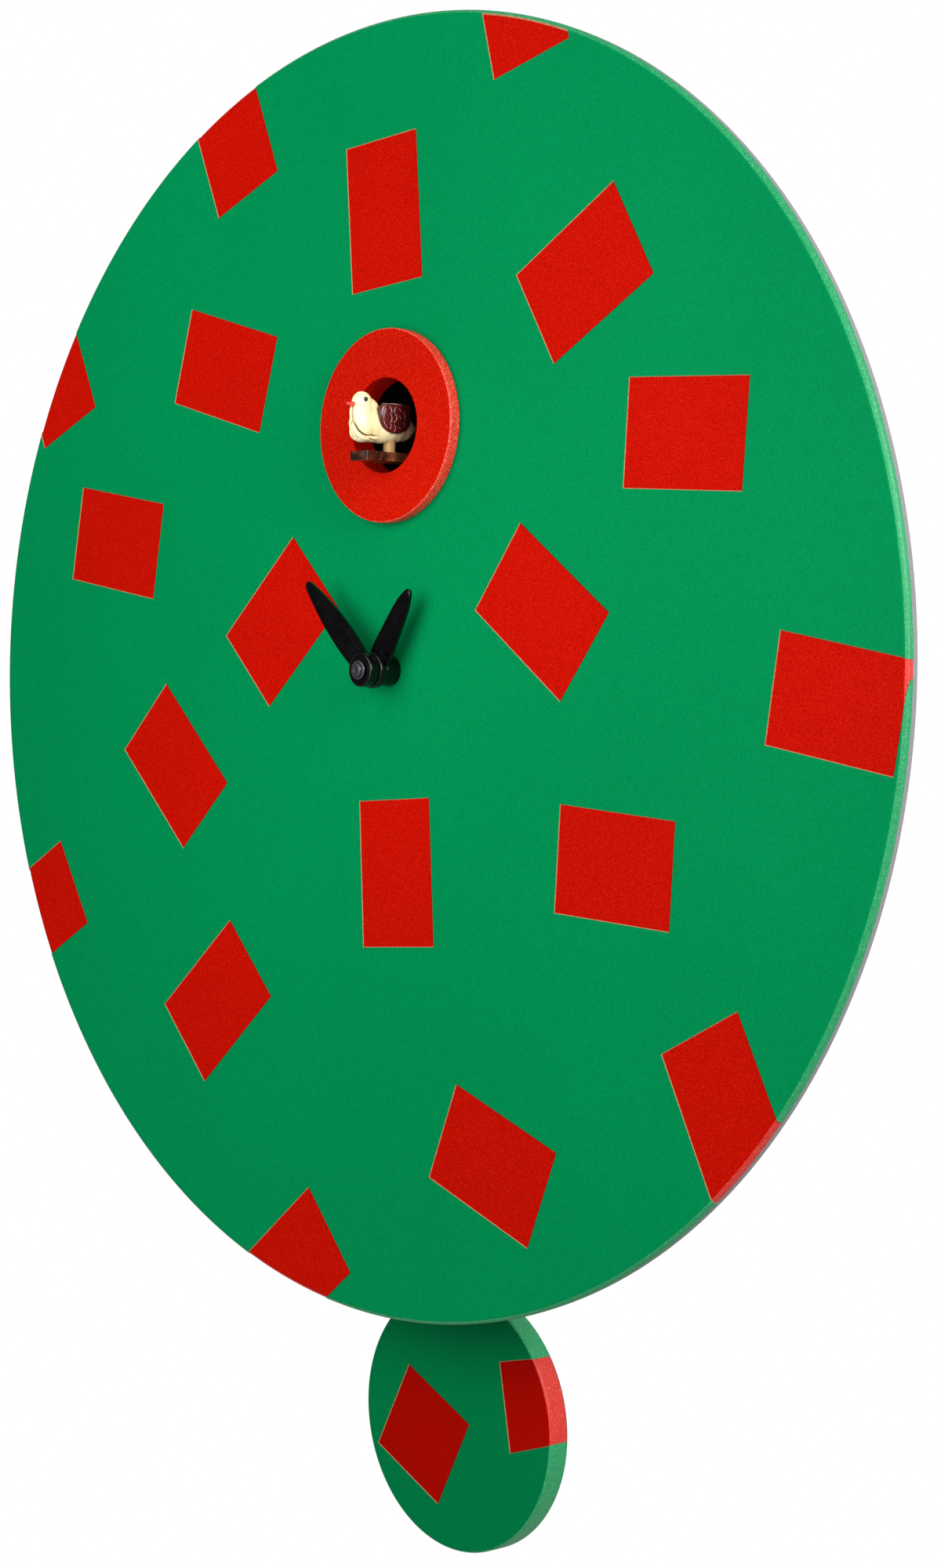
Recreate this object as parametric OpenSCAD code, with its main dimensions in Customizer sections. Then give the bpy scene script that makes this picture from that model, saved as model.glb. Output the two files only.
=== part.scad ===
// Round modern cuckoo wall clock: a painted disc face with red rectangles,
// a ringed bird window, two short hands, a bird on a sliding platform and a
// painted disc pendulum. The works sit in a flat case behind the face.
// Origin: on the wall plane, on the axis of the hands. Front is -Y, up is +Z.

/* [Face] */
// Diameter of the round face panel
face_diameter = 350; // [346:1:360]
// Thickness of the face panel
face_thickness = 4; // [3.5:0.5:5]
// Length of each red rectangle
patch_length = 39.2; // [36:0.1:40]
// Height of each red rectangle
patch_width = 27.4; // [25:0.1:28]
// Depth at which the red rectangles sit below the green
patch_recess = 0.1; // [0.05:0.05:0.2]

/* [Bird window] */
// Height of the window's centre above the hands' axis
window_height = 65.6; // [64:0.1:67]
// Diameter of the raised ring
ring_diameter = 52; // [48:0.2:56]
// Diameter of the opening in the ring
window_diameter = 25.4; // [25:0.1:27]
// Height of the ring above the face
ring_thickness = 3.3; // [2.5:0.1:4]
// Travel of the bird's platform
bird_travel = 28; // [20:1:28]

/* [Hands] */
// Angle of the minute hand at rest, clockwise from twelve
minute_angle = -46; // [-180:0.5:180]
// Angle of the hour hand at rest, clockwise from twelve
hour_angle = 32.5; // [0:0.5:360]
// Length of the minute hand from its axis
minute_length = 34.3; // [30:0.1:38]
// Length of the hour hand from its axis
hour_length = 25.3; // [20:0.1:26]

/* [Case] */
// Depth of the case from the wall to the back of the face
case_depth = 50; // [50:1:54]
// Width of the case
case_width = 144; // [144:1:150]
// Height of the case above the hands' axis
case_top = 105; // [105:1:108]
// Depth of the case below the hands' axis
case_bottom = 95; // [95:1:98]
// Thickness of the case walls
case_wall = 2.5; // [2:0.1:2.6]
// Thickness of the rear cover
cover_thickness = 4; // [4:0.5:4]

/* [Pendulum] */
// Diameter of the pendulum disc
bob_diameter = 73.2; // [68:0.1:74]
// Thickness of the pendulum disc
bob_thickness = 7; // [6:0.5:7]
// Distance of the disc's centre below the hands' axis
bob_drop = 206.5; // [200:0.5:212]
// Distance of the disc's front behind the face's front
bob_setback = 27.5; // [25:0.5:28]

/* [Hidden] */
$fn = 64;
e = 0.01;
face_r = face_diameter / 2;
ring_r = ring_diameter / 2;
win_r = window_diameter / 2;
bob_r = bob_diameter / 2;
// main planes
pb = -case_depth;
pf = pb - face_thickness;
rf = pf - ring_thickness;
bob_f = pf + bob_setback;
bob_b = bob_f + bob_thickness;
bob_mid = (bob_f + bob_b) / 2;
half_w = case_width / 2;
inner_w = half_w - case_wall;
cover_in = -cover_thickness;
sleeve_wall = 1.5;
// red rectangles: x, z, angle of the long side
face_patches = [
    [-4.6, 123.3, 94.5], [70.5, 100, 30.4], [-70.7, 85.4, 164.5], [105.4, 57.9, 176.3],
    [-120.2, 38.1, 170.4], [56.5, 15.1, 143.2], [-45.4, 13.6, 43.2], [-92.1, -27.5, 135.1],
    [3.1, -54.4, 93.1], [83.3, -49.3, 176.1], [-71.9, -94.2, 42], [40.8, -128.8, 158.9],
    [154, -7.7, 170.2], [45.9, 175.4, 104.6], [-68.9, 152.4, 112.5], [-152, 91.5, 113.4],
    [-157.2, -73.1, 30.1], [121.3, -106, 117], [-37.7, -166.2, 39.8]
];
paint = 0.2;
// gears: module of each pair and tooth counts
cannon_teeth = 12;
motion_teeth = 36;
motion_module = 0.5;
motion_pinion_teeth = 10;
hour_teeth = 40;
gear_gap = (cannon_teeth + motion_teeth) * motion_module / 2;
hour_module = 2 * gear_gap / (motion_pinion_teeth + hour_teeth);
centre_teeth = 64;
drive_teeth = 8;
drive_module = 0.3;
drive_gap = (centre_teeth + drive_teeth) * drive_module / 2;
drive_angle = 225;
drive_x = drive_gap * cos(drive_angle);
drive_z = drive_gap * sin(drive_angle);
// layers of the movement, counted from the back of the face
plate_front = pb;
plate_t = 2;
mv_half = 26;
mv_depth = 14;
mv_back = pb + mv_depth;
hour_y = pb + 3.8;
motion_y = pb + 5.8;
centre_y = pb + 7.8;
bush_r = 3.4;
tube_r = 2.65;
shaft_r = 1.75;
fit = 0.05;
// stack of the hands, counted from the front of the face
nut_f = pf - 4.9;
hour_hub_b = pf - 5.2;
hour_hub_f = pf - 7.7;
minute_hub_b = pf - 8;
minute_hub_f = pf - 12;
blade_t = 0.9;
hand_half = 3.73;
hand_tip = 1.24;
// outline of each hand: share of the length, share of the half width
minute_outline = [[0, 0.9], [0.18, 0.93], [0.27, 0.98], [0.37, 1], [0.48, 0.96],
    [0.61, 0.876], [0.74, 0.718], [0.88, 0.495]];
hour_outline = [[0, 0.9], [0.19, 1], [0.3, 1], [0.42, 0.925], [0.58, 0.83],
    [0.72, 0.737], [0.846, 0.587]];
// bird and its platform
plat_top = window_height - 7.4;
plat_bottom = window_height - 9.8;
plat_half = 3.4;
plat_front = pf - 12.1;
plat_back = pf + 19.5;
rack_teeth = 12;
rack_module = 0.5;
rack_pitch = PI * rack_module;
rack_line = plat_half + 0.6;
bp_r = rack_teeth * rack_module / 2;
bp_x = -(rack_line + bp_r);
bp_y = pf + 17;
guide_top = plat_bottom - 0.1;
tunnel_r = win_r + 0.6;
// pendulum
pivot_z = -62;
pin_r = 1.15;
rod_r = 1.5;
rod_top = pivot_z - 14;
// battery bay in the rear cover
bay_x0 = -58.5;
bay_x1 = -23.5;
bay_top = 0;
bay_bottom = -60;
cell_r = 7.25;
cell_len = 50.5;
// speaker, hanger, switches
spk_x = 46;
spk_z = 32;
spk_r = 19;
key_z = 88;
key_slot = 8;
key_r = 4.5;
slot_r = 2.25;
sw_z = -72;
btn_z = -50;
side_y = -26;
post_x = half_w - 6;
ear_x = half_w + 6;

// a cylinder along Y between two planes
module rod_y(r, y0, y1, x = 0, z = 0) {
    translate([x, max(y0, y1), z])
        rotate([90, 0, 0])
            cylinder(r = r, h = abs(y1 - y0));
}

// a box between two planes of Y, centred in X and Z
module box_y(w, h, y0, y1, x = 0, z = 0) {
    translate([x - w / 2, min(y0, y1), z - h / 2])
        cube([w, abs(y1 - y0), h]);
}

// a flat outline drawn in X and Z, made solid between two planes of Y
module slab_y(y0, y1) {
    translate([0, max(y0, y1), 0])
        rotate([90, 0, 0])
            linear_extrude(height = abs(y1 - y0))
                children();
}

// rectangle with round corners
module round_rect(x0, x1, z0, z1, r) {
    translate([x0 + r, z0]) square([x1 - x0 - 2 * r, z1 - z0]);
    translate([x0, z0 + r]) square([x1 - x0, z1 - z0 - 2 * r]);
    for (x = [x0 + r, x1 - r])
        for (z = [z0 + r, z1 - r])
            translate([x, z]) circle(r = r);
}

// one gear outline with straight-flanked teeth, a tooth at the given angle
module gear_2d(n, m, phase) {
    r = n * m / 2;
    p = 360 / n;
    root = r - 1.2 * m;
    tip = r + 0.9 * m;
    polygon([
        for (k = [0 : n - 1])
            for (c = [[root, -0.29], [r, -0.2], [tip, -0.09], [tip, 0.09], [r, 0.2], [root, 0.29]])
                [c[0] * cos(phase + (k + c[1]) * p), c[0] * sin(phase + (k + c[1]) * p)]
    ]);
}

// a gear between two planes of Y
module gear_y(n, m, phase, y0, y1, x = 0, z = 0) {
    slab_y(y0, y1) translate([x, z]) gear_2d(n, m, phase);
}

// a pan-head screw along Y, its head at the rear, its tip at the front
module screw_y(x, z, y_head, len, r = 1.4) {
    difference() {
        union() {
            rod_y(r, y_head - len, y_head, x, z);
            rod_y(2 * r, y_head, y_head + 0.9 * r, x, z);
        }
        box_y(2.4 * r, 0.5 * r, y_head + 0.5 * r, y_head + r, x, z);
        box_y(0.5 * r, 2.4 * r, y_head + 0.5 * r, y_head + r, x, z);
    }
}

// outline of one red rectangle, cut off at the given radius
module patch_2d(p, grow = 0) {
    intersection() {
        translate([p[0], p[1]])
            rotate(p[2])
                square([patch_length + grow, patch_width + grow], center = true);
        circle(r = face_r - 1.5);
    }
}

module face_panel() {
    edge = 1.3;
    color([0, 0.45, 0.25])
    difference() {
        translate([0, pb, 0])
            rotate([90, 0, 0])
                rotate_extrude()
                    union() {
                        square([face_r - edge, face_thickness]);
                        square([face_r, face_thickness - edge]);
                        translate([face_r - edge, face_thickness - edge]) circle(r = edge);
                    }
        rod_y(win_r + sleeve_wall, pf - 1, pb + 1, 0, window_height);
        rod_y(bush_r + 0.2, pf - 1, pb + 1);
        for (p = face_patches)
            slab_y(pf - 1, pf + patch_recess + paint) patch_2d(p);
        for (x = [-ear_x, ear_x])
            for (z = [-80, 85])
                rod_y(1.45, pf + 1, pb + 1, x, z);
        for (x = [-22, 22])
            for (z = [-22, 22])
                rod_y(0.95, pf + 1, pb + 1, x, z);
    }
}

module face_patches_paint() {
    color([0.8, 0.08, 0])
    for (p = face_patches)
        slab_y(pf + patch_recess, pf + patch_recess + paint) patch_2d(p);
}

module bird_ring() {
    edge = 1.1;
    color([0.82, 0.08, 0])
    translate([0, pf, window_height])
        rotate([90, 0, 0])
            rotate_extrude()
                union() {
                    translate([win_r, 0]) square([ring_r - win_r, ring_thickness - edge]);
                    translate([win_r + edge, 0]) square([ring_r - win_r - 2 * edge, ring_thickness]);
                    translate([ring_r - edge, ring_thickness - edge]) circle(r = edge);
                    translate([win_r + edge, ring_thickness - edge]) circle(r = edge);
                    translate([win_r, -face_thickness]) square([sleeve_wall, face_thickness + e]);
                }
}

module case_shell() {
    color([0.09, 0.09, 0.1])
    difference() {
        union() {
            slab_y(pb, cover_in)
                difference() {
                    round_rect(-half_w, half_w, -case_bottom, case_top, 9);
                    round_rect(-inner_w, inner_w, case_wall - case_bottom, case_top - case_wall, 7);
                }
            for (x = [-post_x, post_x])
                for (z = [6 - case_bottom, case_top - 6])
                    rod_y(4.2, pb, cover_in, x, z);
            for (s = [-1, 1])
                for (z = [-80, 85])
                    slab_y(pb, pb + 3)
                        translate([s * half_w, z]) {
                            translate([s > 0 ? -1 : -6, -6]) square([7, 12]);
                            translate([s * 6, 0]) circle(r = 6);
                        }
        }
        for (x = [-post_x, post_x])
            for (z = [6 - case_bottom, case_top - 6])
                rod_y(1.45, cover_in - 12, cover_in + 1, x, z);
        for (x = [-ear_x, ear_x])
            for (z = [-80, 85])
                rod_y(1.5, pb - 1, pb + 4, x, z);
        // slot in the floor for the pendulum rod
        box_y(22, 8, bob_mid - 4, bob_mid + 4, 0, -case_bottom);
        // slot for the volume slider and hole for the button
        translate([inner_w - 1, side_y - 2, sw_z - 7]) cube([6, 4, 14]);
        translate([inner_w - 1, side_y, btn_z]) rotate([0, 90, 0]) cylinder(r = 3.4, h = 6);
        // sound slots in the floor
        for (x = [30, 38, 46, 54])
            box_y(3, 8, -40, -16, x, -case_bottom);
    }
}

module back_cover() {
    color([0.11, 0.11, 0.12])
    difference() {
        slab_y(cover_in, 0) round_rect(-half_w, half_w, -case_bottom, case_top, 9);
        // countersunk seats for the four corner screws
        for (x = [-post_x, post_x])
            for (z = [6 - case_bottom, case_top - 6]) {
                rod_y(1.5, cover_in - 1, 1, x, z);
                rod_y(3.2, -2, 1, x, z);
            }
        // pocket behind the hanger and seat for its plate
        slab_y(-1.5, 1) round_rect(-17, 17, key_z - 10, key_z + 15, 3);
        slab_y(cover_in - 1, 1) round_rect(-6.5, 6.5, key_z - 6.5, key_z + 12.5, 6);
        for (x = [-12, 12])
            rod_y(1.05, cover_in - 1, 0, x, key_z + 3);
        // setting knob
        rod_y(6.8, cover_in - 1, 1, gear_gap, 0);
        // sound holes of the speaker
        for (a = [0 : 60 : 300])
            for (d = [5.5, 11])
                rod_y(1.6, cover_in - 1, 1, spk_x + d * cos(a + d), spk_z + d * sin(a + d));
        rod_y(1.6, cover_in - 1, 1, spk_x, spk_z);
        // battery door channel, open at the bottom, with a lip on each side
        translate([bay_x0, -3, -case_bottom - 1])
            cube([bay_x1 - bay_x0, 2.2, case_bottom + 1 + bay_top]);
        translate([bay_x0 + 1.5, -3, -case_bottom - 1])
            cube([bay_x1 - bay_x0 - 3, 4, case_bottom + 1 + bay_top]);
        translate([bay_x0 + 2, cover_in - 1, bay_bottom + 3])
            cube([bay_x1 - bay_x0 - 4, 3, bay_top - bay_bottom - 6]);
        // screw holes for the guide and the pendulum bracket
        for (x = [-11, 11])
            rod_y(1.05, cover_in - 1, -1, x, guide_top - 10);
    }
}

module cover_screws() {
    color([0.7, 0.7, 0.72])
    for (x = [-post_x, post_x])
        for (z = [6 - case_bottom, case_top - 6])
            screw_y(x, z, -2, 13);
}

module panel_screws() {
    color([0.7, 0.7, 0.72])
    for (x = [-ear_x, ear_x])
        for (z = [-80, 85])
            screw_y(x, z, pb + 3, 5.6);
}

module hanger_plate() {
    color([0.75, 0.75, 0.77])
    difference() {
        slab_y(-1.5, 0) round_rect(-16.8, 16.8, key_z - 9.8, key_z + 14.8, 2.8);
        rod_y(key_r, -3, 1, 0, key_z);
        rod_y(slot_r, -3, 1, 0, key_z + key_slot);
        box_y(2 * slot_r, key_slot, -3, 1, 0, key_z + key_slot / 2);
        for (x = [-12, 12]) {
            rod_y(1.05, -3, 1, x, key_z + 3);
            rod_y(2.2, -0.8, 1, x, key_z + 3);
        }
    }
}

module hanger_screws() {
    color([0.7, 0.7, 0.72])
    for (x = [-12, 12])
        difference() {
            union() {
                rod_y(1, cover_in, -0.8, x, key_z + 3);
                rod_y(2.1, -0.8, -0.1, x, key_z + 3);
            }
            box_y(2.6, 0.5, -0.4, 1, x, key_z + 3);
        }
}

module battery_tray() {
    color([0.13, 0.13, 0.14])
    difference() {
        translate([bay_x0, -23, bay_bottom])
            cube([bay_x1 - bay_x0, 23 + cover_in, bay_top - bay_bottom]);
        translate([bay_x0 + 1.5, -21.5, bay_bottom + 1.5])
            cube([bay_x1 - bay_x0 - 3, 23, bay_top - bay_bottom - 3]);
    }
}

bay_mid = (bay_top + bay_bottom) / 2;
cell_x = [bay_x0 + 9.3, bay_x1 - 9.3];
cell_y = -21.5 + cell_r + 0.8;

module battery_cells() {
    color([0.75, 0.6, 0.25])
    for (i = [0, 1])
        mirror([0, 0, i])
            translate([cell_x[i], cell_y, i == 0 ? bay_mid : -bay_mid]) {
                translate([0, 0, -cell_len / 2]) cylinder(r = cell_r, h = cell_len - 1.2);
                translate([0, 0, cell_len / 2 - 1.2]) cylinder(r = 2.7, h = 1.2);
            }
}

module battery_contacts() {
    gap = (bay_top - bay_bottom - 3 - cell_len) / 2;
    color([0.78, 0.78, 0.75])
    for (x = cell_x)
        for (s = [-1, 1]) {
            translate([x - 5, cell_y - 5, bay_mid + s * (cell_len / 2 + gap - 0.3) - 0.3])
                cube([10, 10, 0.6]);
            translate([x, cell_y, bay_mid + s * (cell_len / 2 + gap / 2 - 0.2) - (gap - 0.6) / 2])
                cylinder(r = 2.2, h = gap - 0.6);
        }
}

module battery_cover() {
    color([0.12, 0.12, 0.13])
    difference() {
        union() {
            translate([bay_x0 + 0.3, -2.95, bay_bottom + 1])
                cube([bay_x1 - bay_x0 - 0.6, 1.8, bay_top - bay_bottom - 1.4]);
            translate([bay_x0 + 1.9, -1.2, bay_bottom + 1])
                cube([bay_x1 - bay_x0 - 3.8, 1.1, bay_top - bay_bottom - 1.4]);
        }
        for (k = [0 : 4])
            translate([bay_mid_x - 8, -0.7, bay_top - 8 - 2.4 * k]) cube([16, 2, 1.2]);
    }
}

bay_mid_x = (bay_x0 + bay_x1) / 2;

module speaker_frame() {
    color([0.5, 0.5, 0.52])
    translate([spk_x, cover_in, spk_z])
        rotate([90, 0, 0])
            rotate_extrude()
                polygon([[spk_r - 3, 0], [spk_r, 0], [spk_r, 1.5], [spk_r - 1.6, 1.5],
                    [10.5, 8], [10.5, 14], [0, 14], [0, 9.5], [9, 9.5], [9, 7.4], [spk_r - 3, 1.2]]);
}

module speaker_cone() {
    color([0.14, 0.13, 0.12])
    translate([spk_x, cover_in, spk_z])
        rotate([90, 0, 0])
            rotate_extrude()
                polygon([[0, 4], [4, 4.4], [5.5, 6], [spk_r - 4, 1.2], [spk_r - 3.3, 0.2],
                    [spk_r - 3, 0.2], [spk_r - 3, 0.9], [spk_r - 4, 1.7], [6, 6.8], [5, 8.8],
                    [4.4, 8.8], [4.4, 5.2], [0, 4.9]]);
}

module circuit_board() {
    color([0.1, 0.4, 0.2])
    difference() {
        slab_y(-12, -10.4) round_rect(24, 66, -44, 8, 1);
        for (x = [27.5, 62.5])
            for (z = [-40.5, 4.5])
                rod_y(1.2, -14, -9, x, z);
    }
    // pillars that carry the board on the rear cover
    color([0.1, 0.4, 0.2])
    for (x = [27.5, 62.5])
        for (z = [-40.5, 4.5])
            rod_y(1.2, -12.6, cover_in, x, z);
}

module board_components() {
    color([0.07, 0.07, 0.08]) {
        box_y(12, 16, -14.4, -12, 40, -14);
        box_y(7, 7, -13.6, -12, 58, -4);
        for (z = [-26, -34])
            rod_y(3.2, -21, -12, 34, z);
        rod_y(2.5, -19, -12, 46, -32);
        box_y(9, 5, -18, -12, 57, -37);
        for (k = [0 : 3])
            box_y(3.2, 1.6, -12.8, -12, 56, -14 - 3.4 * k);
    }
}

module movement_front() {
    color([0.85, 0.85, 0.83])
    difference() {
        union() {
            slab_y(pb, mv_back)
                difference() {
                    round_rect(-mv_half, mv_half, -mv_half, mv_half, 4);
                    round_rect(1.5 - mv_half, mv_half - 1.5, 1.5 - mv_half, mv_half - 1.5, 2.5);
                }
            slab_y(pb, pb + plate_t) round_rect(-mv_half, mv_half, -mv_half, mv_half, 4);
            rod_y(bush_r, pf - 4.7, pb + plate_t);
            for (x = [-22, 22])
                for (z = [-22, 22])
                    rod_y(3, pb, mv_back, x, z);
            // bearing post of the minute wheel
            rod_y(1.1, pb + plate_t, pb + 4.6, gear_gap, 0);
        }
        rod_y(tube_r + fit, pf - 6, pb + plate_t + 1);
        for (x = [-22, 22])
            for (z = [-22, 22])
                rod_y(0.95, pb - 1, mv_back + 1, x, z);
    }
}

module movement_back() {
    color([0.8, 0.8, 0.78])
    difference() {
        slab_y(mv_back, mv_back + plate_t) round_rect(-mv_half, mv_half, -mv_half, mv_half, 4);
        rod_y(1.2 + fit, mv_back - 1, mv_back + 1.4);
        rod_y(1.5 + fit, mv_back - 1, mv_back + plate_t + 1, gear_gap, 0);
        for (x = [-22, 22])
            for (z = [-22, 22])
                rod_y(0.95, mv_back - 1, mv_back + plate_t + 1, x, z);
    }
}

module movement_screws() {
    color([0.7, 0.7, 0.72])
    for (x = [-22, 22])
        for (z = [-22, 22])
            screw_y(x, z, mv_back + plate_t, mv_depth + plate_t + 2.5, 0.9);
}

module drive_unit() {
    color([0.72, 0.42, 0.2])
    difference() {
        union() {
            box_y(16, 16, pb + 10, mv_back, drive_x - 3.5, drive_z - 3.5);
            rod_y(5.5, pb + 9, pb + 10, drive_x - 3, drive_z - 5.5);
        }
        rod_y(0.6 + fit, pb + 8, mv_back - 1, drive_x, drive_z);
    }
}

module drive_pinion() {
    color([0.85, 0.7, 0.3]) {
        gear_y(drive_teeth, drive_module, drive_angle + 180 + 180 / drive_teeth, pb + 6.6, pb + 8.2, drive_x, drive_z);
        rod_y(0.6, pb + 6.6, mv_back - 1.2, drive_x, drive_z);
    }
}

module minute_shaft() {
    color([0.85, 0.7, 0.3]) {
        rod_y(shaft_r, minute_hub_f - 0.5, motion_y + 0.1);
        gear_y(cannon_teeth, motion_module, 0, motion_y - 1.5, motion_y + 0.2);
        rod_y(1.2, motion_y, mv_back + 1.2);
    }
}

module centre_wheel() {
    color([0.85, 0.7, 0.3])
    difference() {
        gear_y(centre_teeth, drive_module, drive_angle, centre_y - 1, centre_y);
        rod_y(1.2, centre_y - 2, centre_y + 1);
        for (a = [45 : 90 : 315])
            rod_y(2, centre_y - 2, centre_y + 1, 5.5 * cos(a), 5.5 * sin(a));
    }
}

module minute_wheel() {
    color([0.9, 0.9, 0.86])
    difference() {
        union() {
            gear_y(motion_teeth, motion_module, 180 + 180 / motion_teeth, motion_y - 1.4, motion_y, gear_gap, 0);
            gear_y(motion_pinion_teeth, hour_module, 180, pb + 2.5, motion_y - 1, gear_gap, 0);
        }
        rod_y(1.15, pb, pb + 5, gear_gap, 0);
    }
}

module setting_shaft() {
    color([0.9, 0.9, 0.86]) {
        rod_y(1.5, motion_y, -9, gear_gap, 0);
    }
}

module set_knob() {
    color([0.15, 0.15, 0.16])
    difference() {
        union() {
            rod_y(6, -9, -1, gear_gap, 0);
            for (a = [0 : 20 : 340])
                rod_y(0.6, -9, -1, gear_gap + 5.8 * cos(a), 5.8 * sin(a));
        }
        rod_y(3.4, -2, 0, gear_gap, 0);
    }
}

module hour_wheel() {
    color([0.9, 0.9, 0.86])
    difference() {
        union() {
            gear_y(hour_teeth, hour_module, 180 / hour_teeth, hour_y - 1.2, hour_y);
            rod_y(tube_r, hour_hub_f, hour_y);
        }
        rod_y(shaft_r + fit, hour_hub_f - 1, hour_y + 1);
    }
}

// outline of a pointed hand with a round tip
module hand_2d(long, outline) {
    polygon(concat(
        [for (k = [0 : len(outline) - 1])
            [-hand_half * outline[k][1], long * outline[k][0]]],
        [[-hand_tip, long - hand_tip], [hand_tip, long - hand_tip]],
        [for (k = [len(outline) - 1 : -1 : 0])
            [hand_half * outline[k][1], long * outline[k][0]]]
    ));
    translate([0, long - hand_tip]) circle(r = hand_tip);
}

module hour_hand() {
    color([0.03, 0.03, 0.035])
    difference() {
        union() {
            rod_y(5.1, hour_hub_b, hour_hub_f);
            slab_y(hour_hub_b - 0.1, hour_hub_b - 0.1 - blade_t)
                rotate(-hour_angle) hand_2d(hour_length, hour_outline);
        }
        rod_y(tube_r, hour_hub_f - 1, hour_hub_b + 1);
    }
}

module bush_nut() {
    color([0.03, 0.03, 0.035])
    difference() {
        union() {
            rod_y(4.6, pf - 1, nut_f);
            rod_y(4.2, pf - 1.1, pf);
        }
        rod_y(bush_r, nut_f - 1, pf + 1);
    }
}

module minute_hand() {
    color([0.03, 0.03, 0.035])
    difference() {
        union() {
            rod_y(4.9, minute_hub_b, minute_hub_f);
            slab_y(minute_hub_b, minute_hub_b - blade_t)
                rotate(-minute_angle) hand_2d(minute_length, minute_outline);
        }
        rod_y(shaft_r, minute_hub_f - 1, minute_hub_b + 1);
    }
}

module hand_nut() {
    color([0.03, 0.03, 0.035])
    difference() {
        union() {
            rod_y(2.6, minute_hub_f - 0.8, minute_hub_f);
            rod_y(1.9, minute_hub_f - 1.6, minute_hub_f);
        }
        rod_y(shaft_r, minute_hub_f - 0.5, minute_hub_f + 1);
    }
}

// one ball of the bird, placed from the front of the face and the window's centre
module ball(y, z, r, x = 0) {
    translate([x, pf + y, window_height + z]) sphere(r = r, $fn = 32);
}

// beak, eyes and peg, also cut from the body as their seats
module beak_solid() {
    translate([0, pf - 13.9, window_height + 4.8])
        rotate([90, 0, 0])
            cylinder(r1 = 1.1, r2 = 0.25, h = 3.1);
}

module eye_solids() {
    translate([0, pf - 11.9, window_height + 6.2])
        rotate([0, 90, 0])
            difference() {
                cylinder(r = 0.6, h = 5.8, center = true);
                cylinder(r = 1, h = 4.2, center = true);
            }
}

module peg_solid() {
    translate([0, pf - 1.2, plat_top])
        cylinder(r = 1.6, h = window_height - 3.2 - plat_top);
}

// trunk of the body: head and neck, breast and belly, then the tail
module trunk() {
    hull() {
        ball(-11.6, 5.5, 2.8);
        ball(-8.6, 3.6, 2.9);
        ball(-11, -0.9, 3.9);
    }
    hull() {
        ball(-11, -0.9, 3.9);
        ball(-5, -0.8, 4);
        ball(0.6, -0.6, 3.9);
    }
    hull() {
        ball(-1, 0.4, 4);
        ball(6.3, -1.1, 1, -1);
        ball(6.3, -1.1, 1, 1);
    }
}

module bird_body() {
    color([1, 0.95, 0.75])
    difference() {
        trunk();
        beak_solid();
        eye_solids();
        peg_solid();
    }
}

module bird_wings() {
    color([0.35, 0.06, 0.08])
    for (s = [-1, 1])
        difference() {
            hull() {
                ball(-5.9, 3.4, 1.9, s * 2.8);
                ball(1.6, 3.7, 1.6, s * 3.1);
                ball(-1.9, -0.8, 1.4, s * 3.2);
            }
            trunk();
        }
}

module bird_beak() {
    color([0.92, 0.3, 0.27]) beak_solid();
}

module bird_eyes() {
    color([0.02, 0.02, 0.02]) eye_solids();
}

module bird_peg() {
    color([0.78, 0.62, 0.38]) peg_solid();
}

module bird_platform() {
    color([0.27, 0.1, 0.04]) {
        translate([-plat_half, plat_front, plat_bottom])
            cube([2 * plat_half, plat_back - plat_front, plat_top - plat_bottom]);
        // rack on the flank, one tooth every pitch, with a gap facing the pinion
        translate([0, 0, plat_bottom])
            linear_extrude(height = plat_top - plat_bottom)
                for (k = [-18 : 0])
                    translate([-rack_line, bp_y + (k + 0.5) * rack_pitch])
                        polygon([
                            [0.6 + e, -0.29 * rack_pitch], [0, -0.2 * rack_pitch],
                            [-0.45, -0.09 * rack_pitch], [-0.45, 0.09 * rack_pitch],
                            [0, 0.2 * rack_pitch], [0.6 + e, 0.29 * rack_pitch]
                        ]);
    }
}

module bird_tunnel() {
    color([0.05, 0.05, 0.055])
    difference() {
        union() {
            rod_y(tunnel_r + 1.5, pb, -16, 0, window_height);
            rod_y(tunnel_r + 6, pb, pb + 2, 0, window_height);
        }
        rod_y(tunnel_r, pb - 1, -15, 0, window_height);
        translate([-25, pb + 2, window_height - 25]) cube([50, 40, 19.5]);
    }
}

module bird_guide() {
    color([0.07, 0.07, 0.08])
    difference() {
        union() {
            // floor under the platform, its side wall and its rear foot
            translate([-plat_half - 0.2, pb + 2.4, guide_top - 2])
                cube([plat_half + 6.2, -pb - 2.4 + cover_in, 2]);
            translate([plat_half + 0.15, pb + 2.4, guide_top - 2])
                cube([2.4, -pb - 2.4 + cover_in, 4.6]);
            translate([-15, cover_in - 2, guide_top - 14]) cube([30, 2, 14]);
            // shelf that carries the motor
            translate([bp_x - 7.5, bp_y - 7.5, guide_top - 4]) cube([18, 15, 2]);
        }
        translate([bp_x, bp_y, guide_top - 6]) cylinder(r = 1.2, h = 8);
        for (x = [-11, 11])
            rod_y(1.05, cover_in - 4, cover_in + 1, x, guide_top - 10);
    }
}

module guide_screws() {
    color([0.7, 0.7, 0.72])
    for (x = [-11, 11])
        difference() {
            union() {
                rod_y(1, cover_in - 2, -1.2, x, guide_top - 10);
                rod_y(2.1, cover_in - 3.2, cover_in - 2, x, guide_top - 10);
            }
            box_y(2.6, 0.5, cover_in - 4, cover_in - 2.7, x, guide_top - 10);
        }
}

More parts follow.
